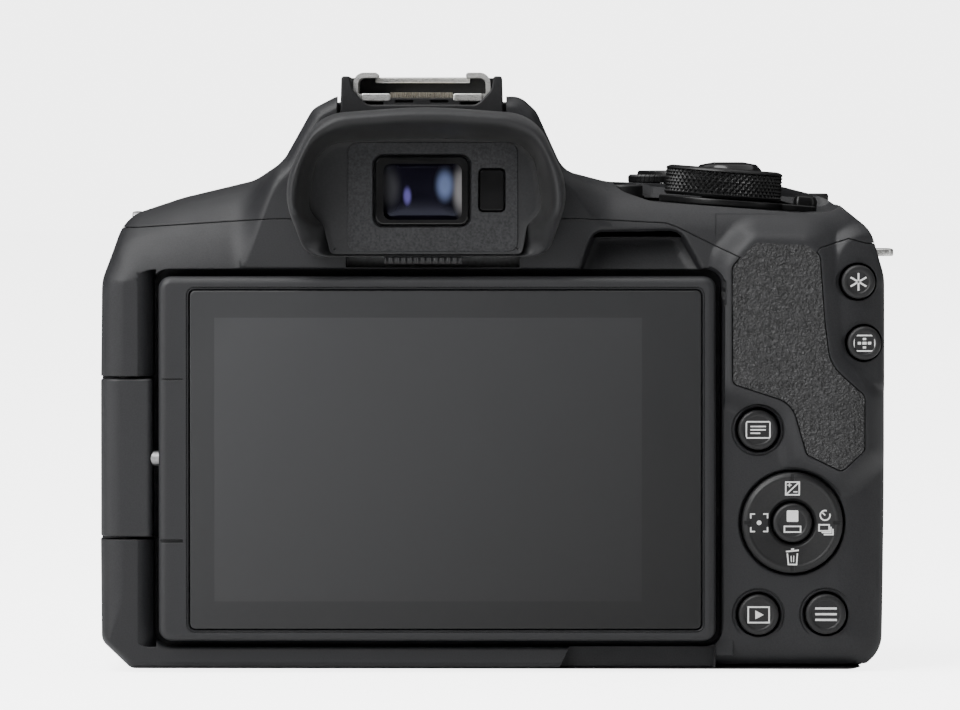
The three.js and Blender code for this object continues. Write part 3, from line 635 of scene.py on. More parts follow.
def rearCover():
    sheet = common(copied(shell, "rearCover"), depthHalf(True), seamHalf(False, 1),
                   slab("above", box2(-90, body["rearLow"], 90, 120), -20, 60))
    pocket = common(
        slab("pocket", box2(recess["left"] - 1.8, body["plateTop"] + 0.3, recess["right"] + 1.8, 64.5), 0.4,
             8.1),
        copied(outerForm, "limit"))
    column = common(slab("column", box2(-60, 3, -49.5, 62), 0.4, 11.3), copied(outerForm, "limit"))
    swell = common(swellSolid("swell", 0), seamHalf(False, 1), copied(edgeForm, "limit"),
                   slab("swellZone", box2(0, 0.5, 90, 90), -20, 60))
    tongue = cut(common(slab("tongue", seamBand, 2.3, 11.2), bodyForm("tongueForm", 0.35)),
                 slab("tongueGap", box2(-24, 60, 4, 90), 0, 20))
    cut(sheet, slab("swellRoom", box2(thumb["left"] + 1.2, -5, 90, 90), -5, 7.4))
    joined(sheet, pocket, column, swell, tongue)
    mouth = slab("mouth", box2(recess["left"], recess["low"], recess["right"], recess["high"], 2.3), -0.55,
                 recess["depth"])
    flare = lofted("flare", np.stack([
        placed(inset(box2(recess["left"], recess["low"], recess["right"], recess["high"], 2.3), -grow), level,
               "depth")
        for grow, level in ((0.5, -3), (0.45, -0.02), (0.2, 0.12), (0.06, 0.3), (0, 0.55), (0, 1.0))]))
    notchLine = evened(rounded([(11.2, 55), (11.9, 59.3, 1.4), (14.1, 65.3, 2), (26.8, 65.5, 2.6),
                                (30.2, 59.6, 2.4),
                                (35.2, 55.4)], 8), 160)
    scoop = np.stack([placed(inset(notchLine, draw), level, "depth") for draw, level in (
        (-1.0, -2), (-0.9, -0.05), (-0.3, 0.2), (0, 0.8), (0.1, 2.4), (0.5, 4.4), (1.3, 5.4), (2.2, 5.7))])
    share = np.clip((scoop[..., 1] - rearPlane) / 5.7, 0, 1)
    scoop[..., 1] -= share * 0.55 * (65.3 - scoop[..., 2])    # the floor comes up towards the monitor
    topNotch = lofted("topNotch", scoop)
    foot = slab("bottomNotch", rounded([(7.4, -3), (31.6, -3), (32.3, 3.9, 0.5), (10.6, 3.9, 1.2)], 6), -2,
                2.4)
    clearing = common(
        slab("columnZone",
             rounded([(swing["x"], 3.55, 3.6), (-50.9, 3.55), (-50.9, 59.7), (swing["x"], 59.7, 4.2)], 10),
             -1, swing["depth"]),
        turned("tube", [(4.3, 0), (12, 0), (12, 64), (4.3, 64)], (swing["x"], swing["depth"], 0), "up"))
    hingeNotch = slab("hingeNotch", box2(-62, 19.55, -50.8, 43.85, 0.3), -2, 8.5)
    pinHole = rod(swing["pinHole"], 18, 45.4, (swing["x"], swing["depth"], 0), "up", 40)
    finder = slab("finderHole", box2(viewfinder["left"] - 0.3, 60, viewfinder["right"] + 0.3, 80), -1, 9)
    wells = [wellOf(x, z, radius + 0.32, 5.4, 0.42, 0.0 if rear > -1.5 else -1.25)
             for node, (x, z, radius, rear) in rearButtons.items() if node != "set_button"]
    keyWell = wellOf(crossKeys["x"], crossKeys["z"], crossKeys["r"] + 0.32, 3.9, 0.45)
    bed = slab("bed", thumbOutline, -6, -0.25)
    doorRoom = slab("doorRoom", box2(28.2, -1, 52.9, 2.2), 8.7, 14)
    collars = [turned("collar", [(r + 0.66, -5), (r + 0.66, 0.22), (r + 0.9, 0.22), (r + 0.9, -5)], (x, 0, z),
                      "front", 72)
               for x, z, r in (rearButtons[node][:3] for node in ("info_button", "play_button",
                                                                  "menu_button"))]
    cut(sheet, *collars)
    return cut(sheet, doorRoom, mouth, flare, topNotch, foot, clearing, hingeNotch, pinHole, finder, keyWell,
               bed, *wells)


standIn(rearCover(), "rearCover", "rear_cover", bodyPlastic)
print("rear cover done")

thumbPad = common(swellSolid("thumbPad", 0.02),
                  slab("thumbZone", inset(thumbOutline, thumb["groove"] / 2), -6, -0.3))
standIn(thumbPad, "thumbRubber", "thumb_rubber", gripRubber)


# the eyecup and the viewfinder

eyecup = {
    "outer": [(-28.6, 61.6, 3.4), (7.1, 61.6, 3.4), (10.6, 71.5, 10), (5.4, 82.7, 7), (-10.8, 83.9, 70),
              (-27, 82.7, 7), (-32.1, 71.5, 10)],
    "inner": [(-24.9, 62.0, 0.8), (3.4, 62.0, 0.8), (4.2, 66.2, 1.4), (6.5, 68.6, 3), (5.0, 78.4, 4.6),
              (-10.8, 79.3, 70),
              (-26.8, 78.4, 4.6), (-28.3, 68.6, 3), (-26, 66.2, 1.4)],
    "rim": -13.5,
    "rimLow": -2.5,
    "middle": (-10.8, 71.5),
    "count": 480,
}


def eyecupHood():
    # a closed ring: its section goes up the outside, over a soft rim, and down the inside; the rim stands
    # out far round the top and the sides, and comes down to nothing along the bottom
    count = eyecup["count"]
    turn = np.linspace(-math.pi / 2, 1.5 * math.pi, count, endpoint=False)

    def along(loop):
        # the points of a closed outline that lie on even rays from the middle of the opening
        dense = evened(loop, 4000) - eyecup["middle"]
        angle = np.unwrap(np.arctan2(dense[:, 1], dense[:, 0]))
        angle = np.mod(angle + math.pi / 2, 2 * math.pi) - math.pi / 2
        order = np.argsort(angle)
        a = np.concatenate([angle[order] - 2 * math.pi, angle[order], angle[order] + 2 * math.pi])
        found = [np.interp(turn, a, np.tile(dense[order, k], 3)) for k in (0, 1)]
        return np.stack(found, axis=1) + eyecup["middle"]

    outer, inner = along(rounded(eyecup["outer"], 12)), along(rounded(eyecup["inner"], 12))
    lift = np.clip((outer[:, 1] - 61.6) / 7.5, 0, 1)
    lift = lift * lift * (3 - 2 * lift)
    rim = eyecup["rimLow"] + (eyecup["rim"] - eyecup["rimLow"]) * lift
    rings = []
    paintedShade = []
    for share, toward in ((0.0, 0.0), (0.3, -0.01), (0.6, 0.005), (0.8, 0.03), (0.91, 0.08), (0.97, 0.14),
                          (0.995, 0.21),
                          (1.0, 0.28), (0.985, 0.37), (0.94, 0.47), (0.86, 0.57), (0.76, 0.67), (0.64, 0.77),
                          (0.5, 0.87), (0.3, 1.0)):
        rings.append(placed(outer * (1 - toward) + inner * toward, -0.25 + (rim + 0.25) * share, "depth"))
        # painted shade: the inside of the hood darkens in its colour from the rim down into the hollow, most
        # round the top, where shadow falls
        hollow = np.clip((toward - 0.12) / 0.5, 0, 1)
        paintedShade.append(hollow * hollow * (3 - 2 * hollow) * (0.25 + 0.75 * lift))
    opening = np.clip(inner, (viewfinder["left"] + 1.2, 64.6), (viewfinder["right"] - 1.2, 77.0))
    # painted shade: the ledge at the foot of the inner wall is darkened, fading out towards the plate
    for loop, level, dark in ((inner, -2.55, 0.9), (inset(inner, 0.6), -2.4, 0.3),
                              (inset(inner, 1.0), -2.4, 0),
                              (opening, -2.38, 0), (opening, -0.25, 0)):
        rings.append(placed(loop, level, "depth"))
        paintedShade.append(dark * lift)
    return lofted("eyecup", np.stack(rings), closed=True, paintedShade=np.stack(paintedShade))


# painted shade: the eyecup's hollow is darkened nearly to black in its colour, where shadow falls
nodes = eyecupRubber.node_tree.nodes
paintedShadeOf = nodes.new("ShaderNodeAttribute")
paintedShadeOf.attribute_name = "paintedShade"
baseColour = nodes["Principled BSDF"].inputs["Base Color"]
wire(mixOf(nodes, paintedShadeOf.outputs["Fac"], baseColour.links[0].from_socket, (0.0004, 0.0004, 0.0005)),
     baseColour)


standIn(eyecupHood(), "eyecupHood", "eyecup", eyecupRubber, 50)

finder = cut(
    slab("finderPlate",
         box2(viewfinder["left"], viewfinder["low"] + 0.6, viewfinder["right"], viewfinder["high"], 1.5),
         -2.55, 4, roundLow=0.08),
    lofted("finderFlare",
           np.stack([placed(box2(-18.6 + draw, 66.1 + draw, -4.2 - draw, 76.8 - draw, 1.4), level, "depth")
                                    for draw, level in ((-0.2, -4), (-0.15, -2.5), (0, -2.3), (0.1, -1.2))])),
    slab("finderHole", box2(-17.6, 66.6, -5, 75.9, 1.2), -2, 8),
    slab("sensorHole", box2(-3.1, 68.2, 1, 74.8, 0.8), -4, -1))
standIn(finder, "finderPlate", "viewfinder_frame", speckledPlastic)
surround = cut(slab("finderSurround", box2(-18.3, 66.4, -4.5, 76.5, 1.3), -2.4, -1.3, roundLow=0.2),
               slab("surroundHole", box2(-17.1, 67.1, -5.5, 75.4, 1.1), -4, 0))
finished(surround, "finderSurround", "viewfinder_frame", glossPlastic)


def eyeLens():
    # a bulged window: the depth falls off as the fourth power of the distance from the middle
    count, rows = 96, 14
    edge = evened(box2(-17.35, 66.85, -5.25, 75.65, 1.2), count)
    middle = np.array([-11.3, 71.25])
    rings = [placed(edge, 2.4, "depth"), placed(edge, 0.0, "depth")]
    for share in np.linspace(0.98, 0.02, rows):
        rings.append(placed(middle + (edge - middle) * share, -0.3 * (1 - share ** 4), "depth"))
    return lofted("eyeLens", np.stack(rings))


def coated(name, paintedReflections):
    # dark coated glass; each spot is a soft patch painted into its colour, mostly painted reflections of
    # lamps:
    # (x, z, half width, half height, colour)
    material, nodes, shader, place = newMaterial(
        name, Roughness=0.12,
        **{"Specular IOR Level": 0.25, "Specular Tint": (0.6, 0.66, 1, 1), "Coat Weight": 0.15,
                                 "Coat Roughness": 0.08, "Coat Tint": (0.82, 0.86, 1, 1)})
    tint = tintOf(nodes, noiseOn(nodes, place, 6), (0.003, 0.003, 0.006), (0.006, 0.005, 0.01))
    for x, z, wide, tall, colour in paintedReflections:
        lay = nodes.new("ShaderNodeMapping")
        lay.inputs["Location"].default_value = (-x / wide, 0, -z / tall)
        lay.inputs["Scale"].default_value = (1 / (wide * mm), 0, 1 / (tall * mm))
        wire(place, lay.inputs["Vector"])
        away = nodes.new("ShaderNodeVectorMath")
        away.operation = "LENGTH"
        wire(lay.outputs["Vector"], away.inputs[0])
        share = nodes.new("ShaderNodeMapRange")
        share.interpolation_type = "SMOOTHERSTEP"
        setSockets(share, {"From Min": 0.15, "From Max": 1, "To Min": 1, "To Max": 0})
        wire(away.outputs["Value"], share.inputs["Value"])
        tint = mixOf(nodes, share.outputs["Result"], tint, colour)
    wire(tint, shader.inputs["Base Color"])
    wire(spanOf(nodes, noiseOn(nodes, place, 4), 0.1, 0.14), shader.inputs["Roughness"])
    return material


# painted reflections: soft grey, pale, blue and violet patches in the glass's colour, standing in for lamps
# mirrored in the bulged lens
eyeGlass = coated("eyeGlass",
                  ((-16.4, 71.9, 2.4, 4.4, (0.05, 0.05, 0.053)), (-5.4, 71.6, 2.0, 5.4, (0.3, 0.29, 0.29)),
                               (-8.0, 72.2, 1.9, 3.3, (0.14, 0.18, 0.32)),
                               (-13.6, 70.6, 0.85, 1.9, (0.13, 0.11, 0.34))))
standIn(eyeLens(), "eyeLens", "eyepiece_lens", eyeGlass, 60)
standIn(slab("sensorWindow", box2(-2.9, 68.4, 0.8, 74.6, 0.6), -1.9, -1.2, roundLow=0.2), "sensorWindow",
        "eye_sensor_window", glossPlastic)


def sliderBar():
    # a low bar with finger ridges: its height follows a sine along x
    x = np.linspace(-17, -5.5, 139)
    crest = -3.0 - 0.2 * np.maximum(np.sin((x + 17) * 2 * math.pi / 0.95), -0.4)
    section = [(0.3, 60.5), (0.0, 60.5), (0.6, 60.62), (1.0, 61.0), (0.6, 61.48), (0.0, 61.6), (0.3, 61.6)]
    rows = []
    for share, z in section:
        depth = np.where(share == 0.3, -0.3, crest * (0.85 + 0.15 * share))
        rows.append(np.stack([x, rearPlane + np.broadcast_to(depth, x.shape), np.full(x.shape, z)], axis=1))
    grid = np.stack(rows).transpose(1, 0, 2)
    return lofted("sliderBar", grid)


standIn(sliderBar(), "dioptreSlider", "diopter_slider", darkPlastic)
print("viewfinder done")


# the top, the front and the base

dial = {"x": 33.6, "depth": 14, "z": 70.2, "r": 8.8, "height": 4.5, "lean": 4.4, "knurls": 61,
        "bandMiddle": 2.25, "bandHalf": 1.72, "knurlDeep": 0.34}
mainDial = {"x": 28.3, "depth": 35, "r": 8.5, "scallops": 28, "scallopDeep": 0.3, "skin": 8.1}
shutter = {"x": 35.5, "depth": 48, "r": 5.2}
hump = {"left": -25.4, "right": 2.6}
lens = {"x": -11.3, "z": 37.5, "ribs": 84, "ribZone": (51.4, 64.8), "ribDeep": 0.6, "knurls": 150,
        "knurlZone": (67.0, 72.6), "knurlDeep": 0.24, "skin": 33.5, "baffles": 7}
topButtons = {"movie_button": (19.2, 22.5, 2.6, 68.6, 72.2), "iso_button": (48, 34.5, 2.4, 66.4, 70.8)}


def wellUp(x, depth, radius, low, high):
    return rod(radius, low, high, (x, depth, 0), "up", 64)


def topCover():
    sheet = common(copied(shell, "topCover"), seamHalf(True, 1),
                   slab("above", box2(-90, 60, 90, 120), -20, 60))
    noseSide = rounded([(20, 60), (34, 60, 4), (36.6, 71, 6), (33.6, 80, 6), (33, 92), (20, 92)], 10)
    nose = common(
        slab("nose", inset(evened(rounded(body["outline"], 12), 500), 0.03), 26, 45),
        slab("noseSide", noseSide, -31, 8.5, "side", 3, 3),
        slab("noseZone", box2(-60, 65.2, 60, 95), 26, 45))
    deckLine = rounded([(16.5, 71.9, 4), (22.9, 69.72, 3), (45, 68.05, 6), (49.6, 68.3, 3), (54, 72),
                        (66, 76), (66, 90),
                        (16.5, 90)], 8)
    deck = stepped("deck", deckLine, (
        (0, -2), (0, 4), (-0.1, 6), (0, 22), (0.6, 24), (2.2, 25.2)))
    floorLine = rounded([(14, 66.9), (52, 65.6), (54, 66), (54, 72, 1), (49.6, 68.35, 3), (45, 68.1, 6),
                         (22.9, 69.77, 3),
                         (15, 71.9, 1)], 8)
    floor = common(slab("deckFloor", floorLine, 1, 26), copied(outerForm, "limit"), seamHalf(True, 1))
    bay = slab("flashBay", box2(hump["left"] - 0.5, 76.6, hump["right"] + 0.5, 90, 0.4), 24.6, 46)
    arms = [slab("armBay", box2(left, 80.6, right, 90, 0.3), 6.3, 25.2)
            for left, right in ((hump["left"] - 0.4, -23.6), (0.8, hump["right"] + 0.4))]
    shoeHole = slab("shoeHole", box2(-24.0, 81.5, 1.1, 92, 0.3), -2, 24.9)
    finder = slab("finderHole", box2(viewfinder["left"] - 0.3, 60, viewfinder["right"] + 0.3, 78.9, 1), -1, 9)
    lug = slab("lugSlot", box2(-55.4, 63, -53.4, 70), 12.6, 23.4)
    boss = rod(3.8, -9, 3, (dial["x"], dial["depth"], dial["z"]), "up",
                  lean=dial["lean"])
    holes = [wellUp(mainDial["x"], mainDial["depth"], mainDial["r"] + 0.4, 71.9, 82),
             wellUp(mainDial["x"], mainDial["depth"], 3.6, 60, 80),
             wellUp(shutter["x"], shutter["depth"], shutter["r"] + 0.4, 60, 80),
             *[wellUp(x, depth, radius + 0.3, 60, 80) for x, depth, radius, _, _ in topButtons.values()]]
    swell = common(swellSolid("swell", 0), seamHalf(True, 1), copied(edgeForm, "limit"))
    cut(sheet, slab("swellRoom", box2(thumb["left"] + 1.2, -5, 90, 68.9), -5, 7.4))
    joined(sheet, nose, swell)
    cut(sheet, deck)
    joined(sheet, floor)
    return cut(sheet, bay, *arms, shoeHole, finder, lug, boss, *holes)


standIn(topCover(), "topCover", "top_cover", bodyPlastic)


def frontCover():
    sheet = common(copied(shell, "frontCover"), depthHalf(False), seamHalf(False, 1),
                   slab("above", box2(-90, body["plateTop"] + 0.3, 90, 120), -20, 70))
    turret = cut(
        turned("turret", [(0, 27), (34.5, 27), (34.5, 30), (33, 33.5, 2), (32.2, 36.5, 1), (0, 36.5)],
               (lens["x"], 0, lens["z"]), "front", 128),
        seamHalf(True, -1))
    chin = slab("chin", evened(rounded([(-36, 2.3), (14, 2.3), (7, 16, 6), (-29, 16, 6)], 8), 160), 27, 36.2,
                roundHigh=1.5)
    hub = turned("hub", [(0, 28), (6, 28), (6, 31, 1), (4.2, 34, 1.4), (0, 34)],
                 (release["x"], 0, release["z"]), "front", 64)
    mountHole = rod(28, 20, 42, (lens["x"], 0, lens["z"]), "front", 128)
    bedZone = slab("bedZone", box2(24, 5.6, 70, 58.4, 1.5), 17.6, 62)
    bed = cut(bedZone, slab("bedCore", inset(evened(rounded(gripPlan, 12), 400), 1.2), -5, 70, "up"))
    door = slab("doorBed", box2(13.2, 13.7, 26.9, 52.3, 1), -64, -56.3, "side")
    releaseHole = rod(3.1, 26, 42, (release["x"], 0, release["z"]), "front", 48)
    lugs = [slab("lugSlot", box2(54, 61.2, 62, 62.9), 12.6, 23.4),
            slab("lugSlot", box2(-55.4, 63, -53.4, 70), 12.6, 23.4)]
    joined(sheet, turret, chin, hub)
    return cut(sheet, mountHole, bed, door, releaseHole, *lugs)


standIn(frontCover(), "frontCover", "front_cover", bodyPlastic)

doorHoleLine = [(28.5, 9, 0.8), (51.6, 9, 0.8), (51.6, 43, 2), (48.6, 48, 2), (37.7, 48, 2), (28.5, 29, 1.5)]
foot = common(copied(outerForm, "basePlate"),
              slab("footZone", box2(-90, -1, 90, body["plateTop"] + 0.18), -20, 90))
cut(foot, slab("rearRoom", box2(-90, body["rearLow"] - body["gap"], 90, 5), -20, body["split"] + body["gap"]))
foot = joined(foot,
              slab("chinFoot", rounded([(-34.5, 20), (12.5, 20), (12.5, 35.6, 2), (-34.5, 35.6, 2)]), 0, 2,
                   "up", 0.5))
doorHole = joined(slab("doorHole", inset(rounded(doorHoleLine, 6), -0.3), -1, 3, "up"),
                  slab("hingeRoom", box2(50, 8.75, 52.8, 45, 0.3), -1, 3, "up"))
socketHole = rod(6.3, -1, 4, (tripod["x"], tripod["depth"], 0), "up", 72)
screwHoles = [rod(1.8, -1, 4, (x, depth, 0), "up", 40)
              for x, depth in ((-51, 15), (19, 24))]
basePocket = slab("basePocket", inset(evened(rounded(gripPlan, 12), 400), 4.5), 1.9, 4, "up")
standIn(cut(foot, doorHole, socketHole, basePocket, *screwHoles), "basePlate", "bottom_plate", bodyPlastic)


grip = {"low": 6, "high": 58, "bulge": 0.5}


def gripSkin():
    # the skin over the grip, bulging a little between its edges: it follows the body seen from above, and
    # its thickness swells along a sine of the height
    outline = evened(rounded(gripPlan, 14), 500)
    low, high, bulge = grip["low"], grip["high"], grip["bulge"]
    z = np.linspace(low, high, 40)
    swell = bulge * np.clip(np.sin(math.pi * (z - low) / (high - low)), 0, 1) ** 0.6
    outside = lofted("gripSkin",
                     np.stack([placed(inset(outline, 0.05 - s), level, "up") for level, s in zip(z, swell)]))
    core = slab("gripCore", inset(outline, 0.95), 0, 62, "up")
    window = slab("gripWindow", box2(26.5, 6, 70, 58, 3), 18, 62)
    return common(cut(outside, core), window, copied(edgeForm, "limit"))


standIn(gripSkin(), "gripSkin", "grip_rubber", gripRubber)
for form in (shell, outerForm, innerForm, edgeForm):
    bpy.data.objects.remove(form)
print("covers done")


# the monitor and its hinge

def hingeBlock():
    # a column with a round back and a flat front, its ends rounded over
    line = rounded([(-51.45, 6.5, 0.6), (-55.3, 7.95, 2.5), (-59.25, 5.2, 1.6), (-59.25, 0.15, 2.9),
                    (-51.45, 0.15, 0.9)], 10)
    block = slab("hingeBlock", evened(line, 200), swing["low"] - 0.15, swing["high"] + 0.15, "up", 0.35, 0.35)
    return cut(block,
               rod(swing["pinHole"], 10, 50, (swing["x"], swing["depth"], 0), "up", 40),
               rod(tiltHinge["bore"], -53.6, -50, tiltCentre, "right", 40))


standIn(hingeBlock(), "hingeBlock", "hinge_block", framePlastic)


def monitorFrame():
    outer = box2(monitor["left"], monitor["low"], monitor["right"], monitor["high"], 1.8, 10)
    count = 480
    outer = evened(outer, count)
    rings = [(0.35, 0.42), (0, 0.1), (0, -1.1), (0.12, -1.55), (0.42, -1.95), (0.85, -2.15), (1.2, -2.2)]
    outside = stepped("monitorFrame", outer, rings)
    glassBed = stepped("glassBed", box2(-45.95, 6.25, 30.15, 56.75, 0.9),
                       ((-0.5, -2.6), (-0.35, -2.2), (-0.1, -2.05), (0, -1.8), (0, -1.0)))
    groove = cut(slab("groove", box2(-46.35, 5.85, 30.55, 57.15, 1.2), -2.6, -2.0),
                 slab("grooveCore", box2(-46.2, 6.0, 30.4, 57.0, 1.05), -3, -1))
    throughHole = slab("through", box2(-44.4, 8, 28.6, 55, 0.8), -3, 2)
    bossGap = slab("bossGap", box2(-51, 43.3, -46.9, 43.55, 0.1), -3, -1.95)
    bossFoot = slab("bossFoot", box2(-51, 19.2, -46.9, 19.7, 0.1), -3, -1.6)
    bore = rod(tiltHinge["bore"], -60, -43.6, tiltCentre, "right", 40)
    return cut(outside, glassBed, groove, throughHole, bossGap, bossFoot, bore)


standIn(monitorFrame(), "monitorFrame", "monitor_bezel", framePlastic)


def monitorBack():
    line = evened(box2(monitor["left"] + 0.05, monitor["low"] + 0.05, monitor["right"] - 0.05,
                       monitor["high"] - 0.05, 1.8, 10), 480)
    outside = stepped("monitorBack", line, (
        (0.35, 0.55), (0, 0.9), (0, 4.2), (0.15, 4.75), (0.5, 5.15), (1.1, 5.3)))
    panel = stepped("panel", box2(-40, 10, 22, 53, 4, 10), (
        (0.5, 5.05), (0, 5.2), (-0.3, 5.6)))
    hollow = slab("hollow", box2(-43.4, 6.4, 30.6, 56.9, 0.5), 0, 3.6)
    pockets = [slab("pocket", box2(-48.6, low, -43.2, high, 0.5), 0, 3.9) for low,
               high in ((6.4, 27), (36, 56.9))]
    bore = rod(tiltHinge["bore"], -60, -43, tiltCentre, "right", 40)
    return cut(outside, panel, hollow, *pockets, bore)


standIn(monitorBack(), "monitorBack", "monitor_back", bodyPlastic)

screen = {"left": -45.8, "low": 6.4, "right": 30, "high": 56.6, "lit": (-42.2, 10.5, 21.2, 52.6)}
screenGlass, nodes, shader, place = newMaterial(
    "screenGlass", Roughness=0.3, **{"Specular IOR Level": 0.3, "Coat Weight": 0.2, "Coat Roughness": 0.27})
apart = nodes.new("ShaderNodeSeparateXYZ")
wire(place, apart.inputs[0])
edges = []
for socket, low, high in (("X", screen["lit"][0], screen["lit"][2]),
                          ("Z", screen["lit"][1], screen["lit"][3])):
    for operation, level in (("GREATER_THAN", low), ("LESS_THAN", high)):
        test = nodes.new("ShaderNodeMath")
        test.operation = operation
        test.inputs[1].default_value = level * mm
        wire(apart.outputs[socket], test.inputs[0])
        edges.append(test.outputs[0])
inside = edges[0]
for other in edges[1:]:
    product = nodes.new("ShaderNodeMath")
    product.operation = "MULTIPLY"
    wire(inside, product.inputs[0])
    wire(other, product.inputs[1])
    inside = product.outputs[0]
# painted reflection: the colour of both panes runs from lighter at the top left to darker at the bottom
# right, as a soft light mirrored in the glass would
paintedReflectionSlant = nodes.new("ShaderNodeVectorMath")
paintedReflectionSlant.operation = "DOT_PRODUCT"
paintedReflectionSlant.inputs[1].default_value = (0.6 / mm, 0, -0.8 / mm)
wire(place, paintedReflectionSlant.inputs[0])
sheets = [tintOf(nodes, spanOf(nodes, paintedReflectionSlant.outputs["Value"], 0.3, 0.7, -64, 10), light, dark)
          for dark, light in (((0.0018, 0.0019, 0.0021), (0.026, 0.0265, 0.028)),
                              ((0.0045, 0.0046, 0.005), (0.037, 0.0375, 0.0395)))]
panes = nodes.new("ShaderNodeMixRGB")
wire(inside, panes.inputs[0])
wire(sheets[0], panes.inputs[1])
wire(sheets[1], panes.inputs[2])
wire(panes.outputs[0], shader.inputs["Base Color"])
wire(spanOf(nodes, noiseOn(nodes, place, 9), 0.28, 0.33), shader.inputs["Roughness"])
glass = slab("screenGlass", box2(screen["left"], screen["low"], screen["right"], screen["high"], 0.8), -2.3,
             -1.2,
             roundLow=0.18)
standIn(glass, "screenCover", "monitor_glass", screenGlass)
standIn(turned("tiltShaft",
               [(0, -53.3), (tiltHinge["shaft"], -53.3, 0.2), (tiltHinge["shaft"], -51.2),
                (tiltHinge["shaft"], -50.7),
                                (tiltHinge["shaft"], -44, 0.2), (0, -44)], tiltCentre,
               "right", 48), "tiltShaft", "tilt_shaft", frameMetal)
print("monitor done")


# round buttons and their printed signs

def buttonCap(node):
    x, z, radius, rear = rearButtons[node]
    profile = [(0, -4.5), (radius, -4.5), (radius, -rear, 0.45), (radius - 0.75, -rear, 0.3),
               (radius - 0.95, -rear - 0.1, 0.3),
               (0, -rear - 0.1)]
    return turned(node, profile, (x, 0, z), "back", 96, 4)


for node in rearButtons:
    standIn(buttonCap(node), node + "_cap", node, buttonPlastic)


def keyRing():
    # a ring that is highest near its outer edge and dishes down to the middle; four short notches mark
    # its directions
    profile = [(crossKeys["hole"], -1.6), (7.0, -1.6), (crossKeys["r"], -1.2, 0.3),
               (crossKeys["r"], 0.55, 0.5),
               (crossKeys["r"] - 0.75, 1.08, 0.5), (crossKeys["r"] - 1.2, 0.92, 0.5),
               (crossKeys["hole"] + 0.4, 0.6, 0.3),
               (crossKeys["hole"], 0.2, 0.2)]
    ring = turned("keyRing", profile, (crossKeys["x"], 0, crossKeys["z"]), "back", 160, 6)
    notches = []
    for turn in range(4):
        angle = turn * math.pi / 2
        reach = crossKeys["r"] - 0.55
        x, z = crossKeys["x"] + reach * math.cos(angle), crossKeys["z"] + reach * math.sin(angle)
        wide, tall = (0.9, 0.28) if turn % 2 == 0 else (0.28, 0.9)
        notches.append(slab("notch", box2(x - wide, z - tall, x + wide, z + tall, 0.1), -2, -0.72))
    return cut(ring, *notches)


standIn(keyRing(), "crossKeyRing", "cross_key_ring", buttonPlastic)


def stroke(points, width, closed=False):
    # a printed line: its outline runs along one side of the path and back along the other, with mitred
    # corners
    path = np.array(points, float)
    before, after = np.roll(path, 1, axis=0), np.roll(path, -1, axis=0)
    if not closed:
        before[0], after[-1] = path[0] * 2 - path[1], path[-1] * 2 - path[-2]
    one = path - before
    two = after - path
    one /= np.linalg.norm(one, axis=1, keepdims=True)
    two /= np.linalg.norm(two, axis=1, keepdims=True)
    normal = np.stack([-(one + two)[:, 1], (one + two)[:, 0]], axis=1)
    normal /= np.linalg.norm(normal, axis=1, keepdims=True)
    mitre = np.sum(normal * np.stack([-one[:, 1], one[:, 0]], axis=1), axis=1, keepdims=True)
    shift = normal * width / 2 / np.maximum(mitre, 0.3)
    return path + shift, path - shift


def printed(name, body, depth, lines=(), areas=(), thick=0.05, dish=None):
    # thin solids a little proud of the surface: bars along paths, and filled outlines
    points, faces, base = [], [], 0
    for path, width, closed in lines:
        left, right = stroke(path, width, closed)
        count = len(left)
        ring = np.stack([left, right, right, left])
        depths = np.array([depth, depth, depth + thick, depth + thick])[:, None]
        points.append(np.stack([ring[..., 0], rearPlane + np.broadcast_to(depths, ring.shape[:2]),
                                ring[..., 1]], axis=-1).reshape(-1, 3))
        steps = count if closed else count - 1
        for step in range(steps):
            following = (step + 1) % count
            faces += [[base + side * count + step, base + side * count + following,
                       base + (side + 1) % 4 * count + following,
                       base + (side + 1) % 4 * count + step] for side in range(4)]
        if not closed:
            faces += [[base + side * count for side in range(4)],
                      [base + side * count + count - 1 for side in (3, 2, 1, 0)]]
        base += 4 * count
    for outline in areas:
        count = len(outline)
        points += [placed(outline, depth, "depth"), placed(outline, depth + thick, "depth")]
        ring = np.arange(count)
        faces += np.stack([ring + base, np.roll(ring, -1) + base, np.roll(ring, -1) + base + count,
                           ring + base + count], axis=1).tolist()
        faces += [(ring[::-1] + base).tolist(), (ring + base + count).tolist()]
        base += 2 * count
    points = np.concatenate(points)
    if dish:
        # follows a cone round (x, z): level at its middle, rising to the rear by slope
        x, z, slope, level = dish
        points[:, 1] -= np.hypot(points[:, 0] - x, points[:, 2] - z) * slope - level
    finished(solid(name, points, faces), name, "info_button", printedWhite, body=body)


def circlePath(x, z, radius, start=0, end=360, count=32):
    turn = np.radians(np.linspace(start, end, count, endpoint=(end - start) % 360 != 0))
    return np.stack([x + radius * np.cos(turn), z + radius * np.sin(turn)], axis=1)


def square(x, z, wide, tall):
    return np.array([(x - wide, z - tall), (x + wide, z - tall), (x + wide, z + tall), (x - wide, z + tall)])


sign = {"line": 0.2, "sink": 0.07}


def signPlace(node):
    x, z, _, rear = rearButtons[node]
    return x, z, rear + sign["sink"]


